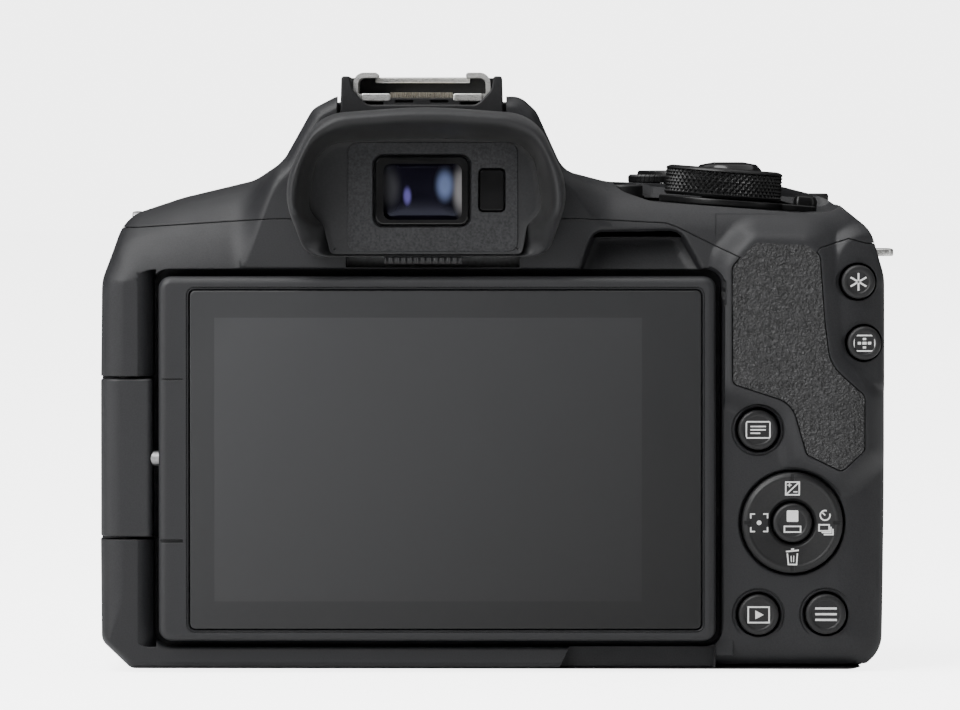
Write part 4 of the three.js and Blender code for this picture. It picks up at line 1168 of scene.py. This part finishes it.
def signs():
    thin = sign["line"]
    x, z, top = signPlace("ae_lock_button")
    star = []
    for turn in (90, 150, 210):
        a = math.radians(turn)
        reach = 1.3 if turn == 90 else 1.35
        star.append(([(x - reach * math.cos(a), z - reach * math.sin(a)),
                      (x + reach * math.cos(a), z + reach * math.sin(a))], 0.26, False))
    printed("starSign", "ae_lock_button", top, star)
    x, z, top = signPlace("af_point_button")
    dots = [square(x, z, 0.3, 0.2), square(x - 0.75, z, 0.24, 0.2), square(x + 0.75, z, 0.24, 0.2),
            square(x, z + 0.62, 0.24, 0.16), square(x, z - 0.62, 0.24, 0.16)]
    printed("pointsSign", "af_point_button", top, [(square(x, z, 1.55, 1.15), 0.2, True)], dots)
    x, z, top = signPlace("info_button")
    printed("infoSign", "info_button", top, [
        (square(x, z, 1.75, 1.2), thin, True), ([(x - 1.15, z + 0.5), (x + 1.15, z + 0.5)], thin, False),
        ([(x - 1.15, z), (x + 1.15, z)], thin, False),
        ([(x - 1.15, z - 0.5), (x + 0.3, z - 0.5)], thin, False)])
    x, z, top = signPlace("set_button")
    printed("setSign", "set_button", top, [(square(x, z - 0.95, 1.2, 0.42), thin, True)],
            [rounded([(x - 0.85, z + 0.15, 0.15), (x + 0.85, z + 0.15, 0.15), (x + 0.85, z + 1.85, 0.15),
                      (x - 0.85, z + 1.85, 0.15)], 4)])
    x, z, top = signPlace("play_button")
    printed("playSign", "play_button", top, [(square(x, z, 1.55, 1.15), 0.22, True)],
            [np.array([(x - 0.5, z - 0.65), (x + 0.75, z), (x - 0.5, z + 0.65)])])
    x, z, top = signPlace("menu_button")
    printed("menuSign", "menu_button", top,
            [([(x - 1.6, z + dz), (x + 1.6, z + dz)], 0.3, False) for dz in (-0.85, 0, 0.85)])
    x, z = crossKeys["x"], crossKeys["z"]
    slope = 0.32 / (crossKeys["r"] - 1.2 - crossKeys["hole"] - 0.4)
    top, cone = -0.64, (x, z, slope, slope * (crossKeys["hole"] + 0.4))
    half = [(square(x, z + 5.1, 1.0, 0.95), thin, True),
            ([(x - 1, z + 4.15), (x + 1, z + 6.05)], thin, False),
            ([(x - 0.75, z + 5.6), (x - 0.15, z + 5.6)], 0.17, False),
            ([(x - 0.45, z + 5.3), (x - 0.45, z + 5.9)], 0.17, False),
            ([(x + 0.15, z + 4.6), (x + 0.75, z + 4.6)], 0.17, False)]
    printed("exposureSign", "cross_key_ring", top, half, dish=cone)
    left = x - 4.95
    corners = []
    for sx in (-1, 1):
        for sz in (-1, 1):
            corners.append(([(left + sx * 0.6, z + sz * 1.3), (left + sx * 1.25, z + sz * 1.3),
                             (left + sx * 1.25, z + sz * 0.65)], thin, False))
    printed("focusSign", "cross_key_ring", top, corners, [circlePath(left, z, 0.35, count=20)], dish=cone)
    binLines = [([(x - 0.75, z - 4.55), (x - 0.6, z - 6.2), (x + 0.6, z - 6.2), (x + 0.75, z - 4.55)], thin,
                 False),
            ([(x - 0.95, z - 4.3), (x + 0.95, z - 4.1)], thin, False),
            ([(x - 0.2, z - 3.95), (x + 0.25, z - 3.9)], thin, False),
            ([(x - 0.2, z - 4.9), (x - 0.16, z - 5.85)], 0.13, False),
            ([(x + 0.2, z - 4.9), (x + 0.16, z - 5.85)], 0.13, False)]
    printed("binSign", "cross_key_ring", top, binLines, dish=cone)
    right = x + 4.95
    clock = [(circlePath(right - 0.1, z + 1.1, 0.72, 70, 380), thin, False),
             ([(right - 0.1, z + 1.1), (right - 0.5, z + 1.5)], thin, False),
             (square(right - 0.25, z - 0.75, 0.75, 0.45), thin, True),
             ([(right - 0.6, z - 1.45), (right + 0.75, z - 1.45), (right + 0.75, z - 0.6)], thin, False),
             ([(right - 0.3, z - 1.75), (right + 1.05, z - 1.75), (right + 1.05, z - 0.9)], thin, False)]
    printed("timerSign", "cross_key_ring", top, clock, dish=cone)


signs()
print("buttons done")


# the controls on the top

def knurled(angle, height, radius):
    # pyramids where two families of slanting ridges cross: the radius dips by the least of two triangle
    # waves
    middle, half = dial["bandMiddle"], dial["bandHalf"]
    pitch = 2 * math.pi * dial["r"] / dial["knurls"]
    wave = lambda phase: np.abs((phase % 1) * 2 - 1)
    one = wave(angle * dial["knurls"] / (2 * math.pi) + height / pitch * 0.9)
    two = wave(angle * dial["knurls"] / (2 * math.pi) - height / pitch * 0.9)
    inBand = np.clip((half - np.abs(height - middle)) / 0.1, 0, 1) * (radius > dial["r"] - 0.5)
    return radius - dial["knurlDeep"] * inBand * np.maximum(one, two)


def modeDial():
    top, rim = dial["height"], dial["r"]
    wall = [(rim, z) for z in np.linspace(0.45, top - 0.5, 46)]
    profile = [(0, -7.5), (3.2, -7.5), (3.2, 0.05), (rim - 0.3, 0.05, 0.2)] + wall + [
        (rim - 0.15, top - 0.28), (rim - 0.55, top - 0.08), (rim - 1.0, top), (rim - 1.5, top - 0.05),
        (rim - 1.7, top - 0.2), (0, top - 0.2)]
    return turned("modeDial", profile, (dial["x"], dial["depth"], dial["z"]), "up", dial["knurls"] * 12,
                  lean=dial["lean"], ripple=knurled)


standIn(modeDial(), "modeDialKnob", "mode_dial", dialPlastic, 20)


def powerLever():
    centre = (dial["x"], dial["depth"], dial["z"])
    ring = turned("powerLever", [(3.7, -1.1), (9.5, -1.1, 0.15), (9.5, -0.15, 0.2), (3.7, -0.15)], centre,
                  "up", 160, lean=dial["lean"])
    arm = evened(rounded([(6, -3.4, 0.5), (11, -3.2, 2), (14.2, -2.1, 1.6), (14.2, 2.1, 1.6), (11, 3.2, 2),
                          (6, 3.4, 0.5)], 8), 200)
    knob = evened(rounded([(10.7, -2.7, 0.7), (14.2, -2.1, 1.6), (14.2, 2.1, 1.6), (10.7, 2.7, 0.7)], 8), 200)

    def leant(line, levels, name):
        rings = []
        tilt = math.radians(dial["lean"])
        for draw, level in levels:
            loop = inset(line, draw)
            x = loop[:, 0] * math.cos(tilt) + level * math.sin(tilt)
            z = level * math.cos(tilt) - loop[:, 0] * math.sin(tilt)
            rings.append(np.stack([centre[0] + x, rearPlane + centre[1] + loop[:, 1], centre[2] + z], axis=1))
        return lofted(name, np.stack(rings))

    return joined(ring, leant(arm, ((0.1, -1.1), (0, -1.0), (0, -0.3), (0.15, -0.15)), "arm"),
                  leant(knob, ((0, -1.0), (0, 0.5), (0.25, 1.1), (0.8, 1.4)), "knob"))


standIn(powerLever(), "powerLeverRing", "power_lever", dialPlastic)


def ridged(angle, height, radius):
    # shallow scallops round the rim: the radius dips along the square of a sine
    dip = np.sin(angle * mainDial["scallops"]) ** 2
    return radius - mainDial["scallopDeep"] * (radius > mainDial["skin"]) * dip


standIn(turned("mainDialKnob",
               [(0, 66), (3.1, 66), (3.1, 72.4), (8.2, 72.4, 0.2), (8.5, 72.6), (8.5, 73.0), (8.5, 73.4),
                (8.2, 73.7, 0.2),
                                (7.1, 73.7), (7.0, 74.3, 0.35), (0, 74.3)],
               (mainDial["x"], mainDial["depth"], 0), "up", 336, ripple=ridged), "mainDialKnob", "main_dial",
               dialPlastic)
standIn(turned("shutterCap",
               [(0, 68), (5.2, 68), (5.2, 74.2, 0.7), (4.4, 75.15, 0.6), (2.2, 75.55, 1.5), (0, 75.3)],
               (shutter["x"], shutter["depth"], 0), "up"), "shutterCap", "shutter_button", glossPlastic)
for node, (x, depth, radius, low, high) in topButtons.items():
    standIn(turned(node,
                   [(0, low), (radius, low), (radius, high, 0.4), (radius - 0.7, high, 0.3),
                    (radius - 0.9, high - 0.12, 0.2),
                          (0, high - 0.18)], (x, depth, 0), "up"), node + "_cap", node, buttonPlastic)
print("dials done")


# the accessory shoe and the flash

shoe = {"left": -23.4, "right": 0.5, "low": 81.6, "top": 88.4, "rear": 0.3, "front": 23.2, "teeth": 26}
baseLine = rounded([(shoe["left"] - 0.2, shoe["low"], 0.3), (shoe["right"] + 0.2, shoe["low"], 0.3),
                    (shoe["right"], shoe["top"], 0.4),
                    (-0.75, shoe["top"], 0.3), (-1.15, 86.4, 1.5), (-3.2, 84.15, 1.8), (-19.7, 84.15, 1.8),
                    (-21.75, 86.4, 1.5),
                    (-22.15, shoe["top"], 0.3), (shoe["left"], shoe["top"], 0.4)], 8)
shoeBase = slab("shoeBase", evened(baseLine, 300), shoe["rear"], shoe["front"], roundLow=0.25)
block = slab("contactBlock", box2(-17.2, 83.9, -5.7, 85.15, 0.2), 2.7, 16, roundLow=0.15)
slots = [slab("slot", box2(left, 84.45, left + 2.7, 84.85, 0.1), 1, 4) for left in (-15.4, -10.2)]
wall = slab("shoeWall", box2(-22.2, 83.9, -0.7, 88.3), 21.9, 23.1)
standIn(cut(joined(shoeBase, block, wall), *slots), "shoeBase", "shoe_housing", darkPlastic)


def shoeRails():
    # a sheet bent into a channel: up each side, over with a round corner, and curled in over the slot
    line = rounded([(-4.9, 88.95, 0.4), (-4.9, 88.2, 0.3), (-1.95, 88.2, 0.9), (-1.95, 85.8, 0.2),
                    (-20.95, 85.8, 0.2),
                    (-20.95, 88.2, 0.9), (-18, 88.2, 0.3), (-18, 88.95, 0.4), (-21.65, 88.95, 1.6),
                    (-21.65, 85.15, 0.3),
                    (-1.25, 85.15, 0.3), (-1.25, 88.95, 1.6)], 8)
    rail = slab("shoeRails", line, 3.0, 22.1)
    window = slab("contactWindow", box2(-16.4, 84, -6.6, 86.5), 2, 23)
    stop = slab("stop", box2(-18.6, 87.5, -4.3, 88.4, 0.2), 20.2, 21.6, roundLow=0.2)
    feet = [slab("foot", box2(left, 84.65, left + 4.4, 85.85, 0.35), 2.6, 6, roundLow=0.2) for left in (-20.5,
                                                                                                        -6.8)]
    return joined(cut(rail, window), stop, *feet)


def contactComb():
    # a strip with a row of small square teeth along its rear edge
    x = np.linspace(-16.1, -6.9, shoe["teeth"] * 4 + 1)[:-1]
    step = np.arange(len(x)) % 4 < 2
    rear = np.where(step, 3.0, 3.5)
    loop = np.vstack([np.column_stack([x, rear]), [(-6.9, 3.5), (-6.9, 21.2), (-16.1, 21.2)]])
    return slab("contactComb", loop, 85.2, 86.0, "up")


standIn(contactComb(), "contactComb", "shoe_contacts", contactMetal)
standIn(shoeRails(), "shoeRailSheet", "shoe_rails", steel)
flashBody = cut(
    joined(slab("flashBody", box2(hump["left"], 77, hump["right"], 84.7, 1.6), 25.1, 36.4, roundLow=0.4,
                roundHigh=1.4),
           *[slab("arm", box2(left, 81.2, left + 1.4, 84.6, 0.5), 7.2, 26,
                  roundLow=0.3) for left in (hump["left"], hump["right"] - 1.4)]),
    slab("flashWindowHole", box2(-21, 78.2, -1.8, 83.6, 0.6), 35.1, 38))
standIn(flashBody, "flashBody", "flash_housing", bodyPlastic)
print("shoe and flash done")


# lens and its mount

def lensPart(name, node, profile, material, sides=180, ripple=None, sharp=30):
    centre = (lens["x"], 0, lens["z"])
    return standIn(turned(name, profile, centre, "front", sides, 4, 0, ripple), name, node, material, sharp)


def ribbed(angle, height, radius):
    # blocks along the ring: a flattened cosine round the turn, only on the part of the ring between its
    # two ends
    wave = np.tanh(3.2 * np.cos(lens["ribs"] * angle)) / 2 + 0.5
    low, high = lens["ribZone"]
    inside = np.clip((height - low) / 0.5, 0, 1) * np.clip((high - height) / 0.5, 0, 1) * (
        radius > lens["skin"])
    return radius - lens["ribDeep"] * (1 - wave) * inside


def fineKnurl(angle, height, radius):
    # two crossing sets of slanted grooves, as the product of two cosines
    one = np.cos(lens["knurls"] / 2 * angle + height * 2.4)
    other = np.cos(lens["knurls"] / 2 * angle - height * 2.4)
    low, high = lens["knurlZone"]
    inside = np.clip((height - low) / 0.3, 0, 1) * np.clip((high - height) / 0.3, 0, 1) * (
        radius > lens["skin"])
    return radius - lens["knurlDeep"] * np.clip(0.5 - 0.5 * one * other, 0, 1) * inside


mountSteps = [(26.2, 36.8), (32, 36.8), (32, 37.7, 0.2), (31.2, 38, 0.1), (27.2, 38, 0.1), (26.2, 37.8)]
lensPart("mountRing", "mount_ring", mountSteps, steel)
groove = [(34.3, 40.0), (34.08, 40.15), (34.08, 40.45), (34.3, 40.6), (34.3, 47.6), (34.08, 47.75),
          (34.08, 48.05), (34.3, 48.2)]
lensPart("lensBarrel", "lens_barrel",
         [(25.5, 38.3), (34.3, 38.3, 0.35)] + groove + [(34.3, 49.8, 0.25), (32.2, 49.8), (32.2, 74),
                                                        (33.8, 74.2, 0.2), (33.8, 77.2),
          (33.6, 77.3), (33.6, 77.6), (33.8, 77.7), (33.8, 79.4, 0.5), (33.2, 80, 0.3), (30.9, 80, 0.1),
          (30.9, 41), (25.5, 41)],
         darkPlastic)
lensPart("zoomRing", "zoom_ring",
         [(32.5, 50.2), (34.5, 50.2, 0.2), (34.8, 51, 0.2), (34.8, 51.4), (34.8, 51.9), (34.8, 58),
          (34.8, 64.3), (34.8, 64.8),
          (34.8, 65, 0.1), (34.5, 65.6, 0.2), (32.5, 65.6)], darkPlastic, 1008, ribbed, 50)
lensPart("controlRing", "control_ring",
         [(32.5, 66), (34.4, 66, 0.2),
          (34.4, 67.0)] + [(34.4, height) for height in np.linspace(67.3, 72.3, 14)]
         + [(34.4, 72.6), (34.4, 73.6, 0.2), (32.5, 73.6)], dialPlastic, 900, fineKnurl, 60)
baffle = []
for step in range(lens["baffles"]):
    share = step / lens["baffles"]
    radius, height = 28.2 - 6.8 * share, 81 - 2 * share
    baffle += [(radius, height), (radius - 0.72, height - 0.04), (radius - 0.78, height - 0.34)]
lensPart("innerBarrel", "inner_barrel",
         [(29, 44), (30.5, 44), (30.5, 80.6), (30.3, 80.75), (30.3, 81.0), (30.5, 81.15), (30.5, 82.3, 0.5),
          (28.4, 82.3, 0.15)]
         + [(28.4 + 0.18 * (turn % 2), 82.0 - 0.15 * turn) for turn in range(6)]
         + baffle + [(21.4, 79), (21.4, 76), (29, 75)], darkPlastic)
# painted reflections: a violet and a green patch of coating glare, with painted shade as a darker patch at
# the middle
frontGlass = coated("frontGlass",
                    ((-16.5, 44, 7, 5, (0.02, 0.006, 0.035)), (-4.5, 31, 6, 5, (0.004, 0.022, 0.016)),
                                   (-11.3, 37.5, 9, 9, (0.0012, 0.0012, 0.002))))
dome = [(21 * share, 80 - 2.8 * share ** 2) for share in np.linspace(0, 1, 18)]
lensPart("frontLens", "front_lens", [(0, 74.2), (21, 74.2), (21, 77.0, 0.2)] + dome[::-1][1:], frontGlass,
         128, None, 60)
standIn(turned("lensRelease", [(0, 29), (2.8, 29), (2.8, 35.2, 0.6), (1.9, 35.05, 1.0), (0, 34.7)],
               (release["x"], 0, release["z"]), "front", 64),
        "lensRelease", "lens_release_button", buttonPlastic, 50)
lensMark = slab("lensMark", box2(-11.7, 71.0, -10.9, 71.85, 0.1), 41.5, 46.8)
finished(lensMark, "lensMark", "lens_barrel", printedWhite)

# flash window: upright prisms along its front
prisms = 26
ribs = np.linspace(-20.5, -2.3, prisms * 8 + 1)
front = 36.28 + 0.1 * np.abs(np.sin(np.linspace(0, prisms * math.pi, len(ribs))))
windowLine = np.vstack([np.column_stack([ribs, front]), [(-2.3, 35.4), (-20.5, 35.4)]])
flashPane, nodes, shader, place = newMaterial("flashPane", Roughness=0.2,
                                              **{"Transmission Weight": 0.35, "Coat Weight": 0.4})
wire(tintOf(nodes, noiseOn(nodes, place, 2), (0.62, 0.64, 0.62), (0.72, 0.73, 0.71)),
     shader.inputs["Base Color"])
wire(spanOf(nodes, noiseOn(nodes, place, 1), 0.16, 0.26), shader.inputs["Roughness"])
standIn(slab("flashWindow", windowLine, 78.5, 83.3, "up"), "flashWindow", "flash_window", flashPane, 60)
print("lens and flash window done")


# battery door, latch and socket

doorEdge = rounded([(28.5, 9, 0.8), (51.6, 9, 0.8), (51.6, 43, 1.6), (48.6, 48, 1.2), (37.7, 48, 1.2),
                    (28.5, 29, 1.2)], 6)
doorPlate = cut(slab("doorPlate", doorEdge, 0, 1.8, "up", roundLow=0.3),
                slab("latchRoom", box2(29.9, 15.9, 38.1, 24.1, 0.3), -1, 3, "up"),
                *[slab("doorGroove", box2(49.2, 12 + 0.9 * row, 50.9, 12.35 + 0.9 * row, 0.1), -1, 0.25,
                       "up") for row in range(30)])
standIn(doorPlate, "doorPlate", "battery_door", bodyPlastic)
latch = joined(slab("doorLatch", box2(30.2, 16.2, 34.8, 23.8, 0.5), 0.35, 1.6, "up", roundLow=0.2),
               *[slab("latchRib", box2(31 + 0.62 * row, 16.9, 31.3 + 0.62 * row, 23.1, 0.1), 0.08, 0.8, "up",
                      roundLow=0.08)
                 for row in range(5)])
standIn(latch, "doorLatch", "battery_latch", darkPlastic)


def threaded(angle, height, radius):
    # a rounded groove that climbs one turn for each step of the thread, only on the bore
    return radius + tripod["threadDeep"] * np.cos(angle - height * 2 * math.pi / tripod["thread"]) * (
        radius < tripod["bore"] + 0.2)


tripodSocket = turned("tripodSocket",
                      [(3.3, 0.15, 0.1), (3.9, 0.05), (6, 0.05, 0.2), (6, 2.3), (7.4, 2.3), (7.4, 5.6),
                       (3.3, 5.6)]
                + [(3.3, height) for height in np.linspace(5.4, 0.4, 40)], (tripod["x"], tripod["depth"], 0),
                "up", 72, 3, 0, threaded)
standIn(tripodSocket, "tripodSocket", "tripod_socket", socketMetal, 60)

# strap lugs and the side flap

lugLeft = cut(slab("lugLeft", box2(13, 63.4, 23, 68.2, 1.2), -55, -53.8, "side", 0.3, 0.2),
              slab("lugSlot", box2(14.6, 66.6, 21.4, 67.5, 0.4), -56, -52, "side"))
standIn(lugLeft, "lugLeft", "strap_lug_left", frameMetal)
lugRight = cut(slab("lugRight", box2(54.4, 13, 59.3, 23, 1.4), 61.5, 62.6, "up", 0.25, 0.25),
               slab("lugSlotRight", box2(57.7, 14.3, 58.6, 21.7, 0.4), 60, 64, "up"))
standIn(lugRight, "lugRight", "strap_lug_right", steel)
flap = cut(slab("sideFlap", box2(13.5, 14, 26.5, 52, 1.6), -59.3, -57.8, "side", 0.35),
           slab("flapGroove", box2(14.3, 32.6, 25.7, 32.9, 0.1), -60, -59.1, "side"),
           slab("flapNotch", box2(13.2, 29.2, 14.6, 36.4, 0.6), -60, -58.9, "side"))
standIn(flap, "sideFlap", "terminal_cover", eyecupRubber)
print("door, lugs and flap done")


# the pieces that keep their shape get a detailed material

for material, kept in (
        (steel, ("cross_key_pivot", "base_screw_1", "base_screw_2")), (bladeMetal, ("hinge_pin",)),
        (displayGlass, ("display_panel", "viewfinder_display")), (frameMetal, ("chassis",)),
        (circuitBoard, ("main_board",)), (sensorGlass, ("image_sensor",)), (bladeMetal, ("shutter_unit",)),
        (cellLabel, ("battery",)), (darkPlastic, ("memory_card", "terminal_block"))):
    for node in kept:
        for slot in frame["nodes"][node].material_slots:
            slot.material = material


# the floor, the lights and the camera

floorCorners = np.array([(-6000, -6000), (6000, -6000), (6000, 6000), (-6000, 6000)], float)
ground = solid("ground", np.column_stack([floorCorners, np.full(4, -0.2)]), [[0, 1, 2, 3]])
paleFloor, nodes, shader, place = newMaterial("paleFloor", Roughness=0.9)
wire(tintOf(nodes, noiseOn(nodes, place, 60), (0.86, 0.86, 0.86), (0.9, 0.9, 0.9)),
     shader.inputs["Base Color"])
shader.inputs["Emission Color"].default_value = (1, 1, 1, 1)
wire(spanOf(nodes, nodes.new("ShaderNodeLightPath").outputs["Is Camera Ray"], 0, 4.3, 0, 1),
          shader.inputs["Emission Strength"])
ground.data.materials.append(paleFloor)

studio = {
    "view": {"lens": 303, "sensor": 36, "distance": 1.2, "rise": 1.5, "aim": (-2.8, 47)},
    "room": (0.06, 4.5),
    "lights": {
        "ceiling": ((0, 0.2, 2.6), (0, 0.2, 0), (5, 5), 70),
        "overhead": ((-0.3, -0.2, 1.0), (-0.02, 0, 0.07), (0.7, 0.5), 7),
        "leftPanel": ((-0.9, -0.35, 0.35), (0, 0, 0.04), (0.3, 0.8), 3.5),
        "rightPanel": ((0.9, -0.25, 0.3), (0, 0, 0.04), (0.3, 0.8), 1),
        "highLeft": ((-0.72, -1.5, 0.72), (0, 0, 0.03), (0.95, 0.95), 5),
        "nearLeft": ((-0.3, -0.42, 0.4), (-0.05, -0.03, 0.08), (0.3, 0.3), 3.4),
    },
}


def aimed(thing, place, target):
    thing.location = place
    away = np.array(place) - np.array(target)
    thing.rotation_euler = (math.atan2(math.hypot(away[0], away[1]), away[2]), 0,
                            math.atan2(away[0], -away[1]))


def makeStudio():
    for name, (place, target, (width, height), watts) in studio["lights"].items():
        data = bpy.data.lights.new(name, "AREA")
        data.shape, data.size, data.size_y, data.energy = "RECTANGLE", width, height, watts
        aimed(added(name, data), place, target)
    view = studio["view"]
    data = bpy.data.cameras.new("view")
    data.lens, data.sensor_width = view["lens"], view["sensor"]
    camera = added("view", data)
    target = (view["aim"][0] * mm, rearPlane * mm, view["aim"][1] * mm)
    rise = math.radians(view["rise"])
    place = (target[0], target[1] - view["distance"] * math.cos(rise),
             target[2] + view["distance"] * math.sin(rise))
    aimed(camera, place, target)
    bpy.context.scene.camera = camera
    room = bpy.data.worlds.new("paleRoom")
    room.use_nodes = True
    nodes = room.node_tree.nodes
    strength = spanOf(nodes, nodes.new("ShaderNodeLightPath").outputs["Is Camera Ray"], *studio["room"], 0, 1)
    nodes["Background"].inputs["Color"].default_value = (1, 1, 1, 1)
    wire(strength, nodes["Background"].inputs["Strength"])
    bpy.context.scene.world = room


makeStudio()
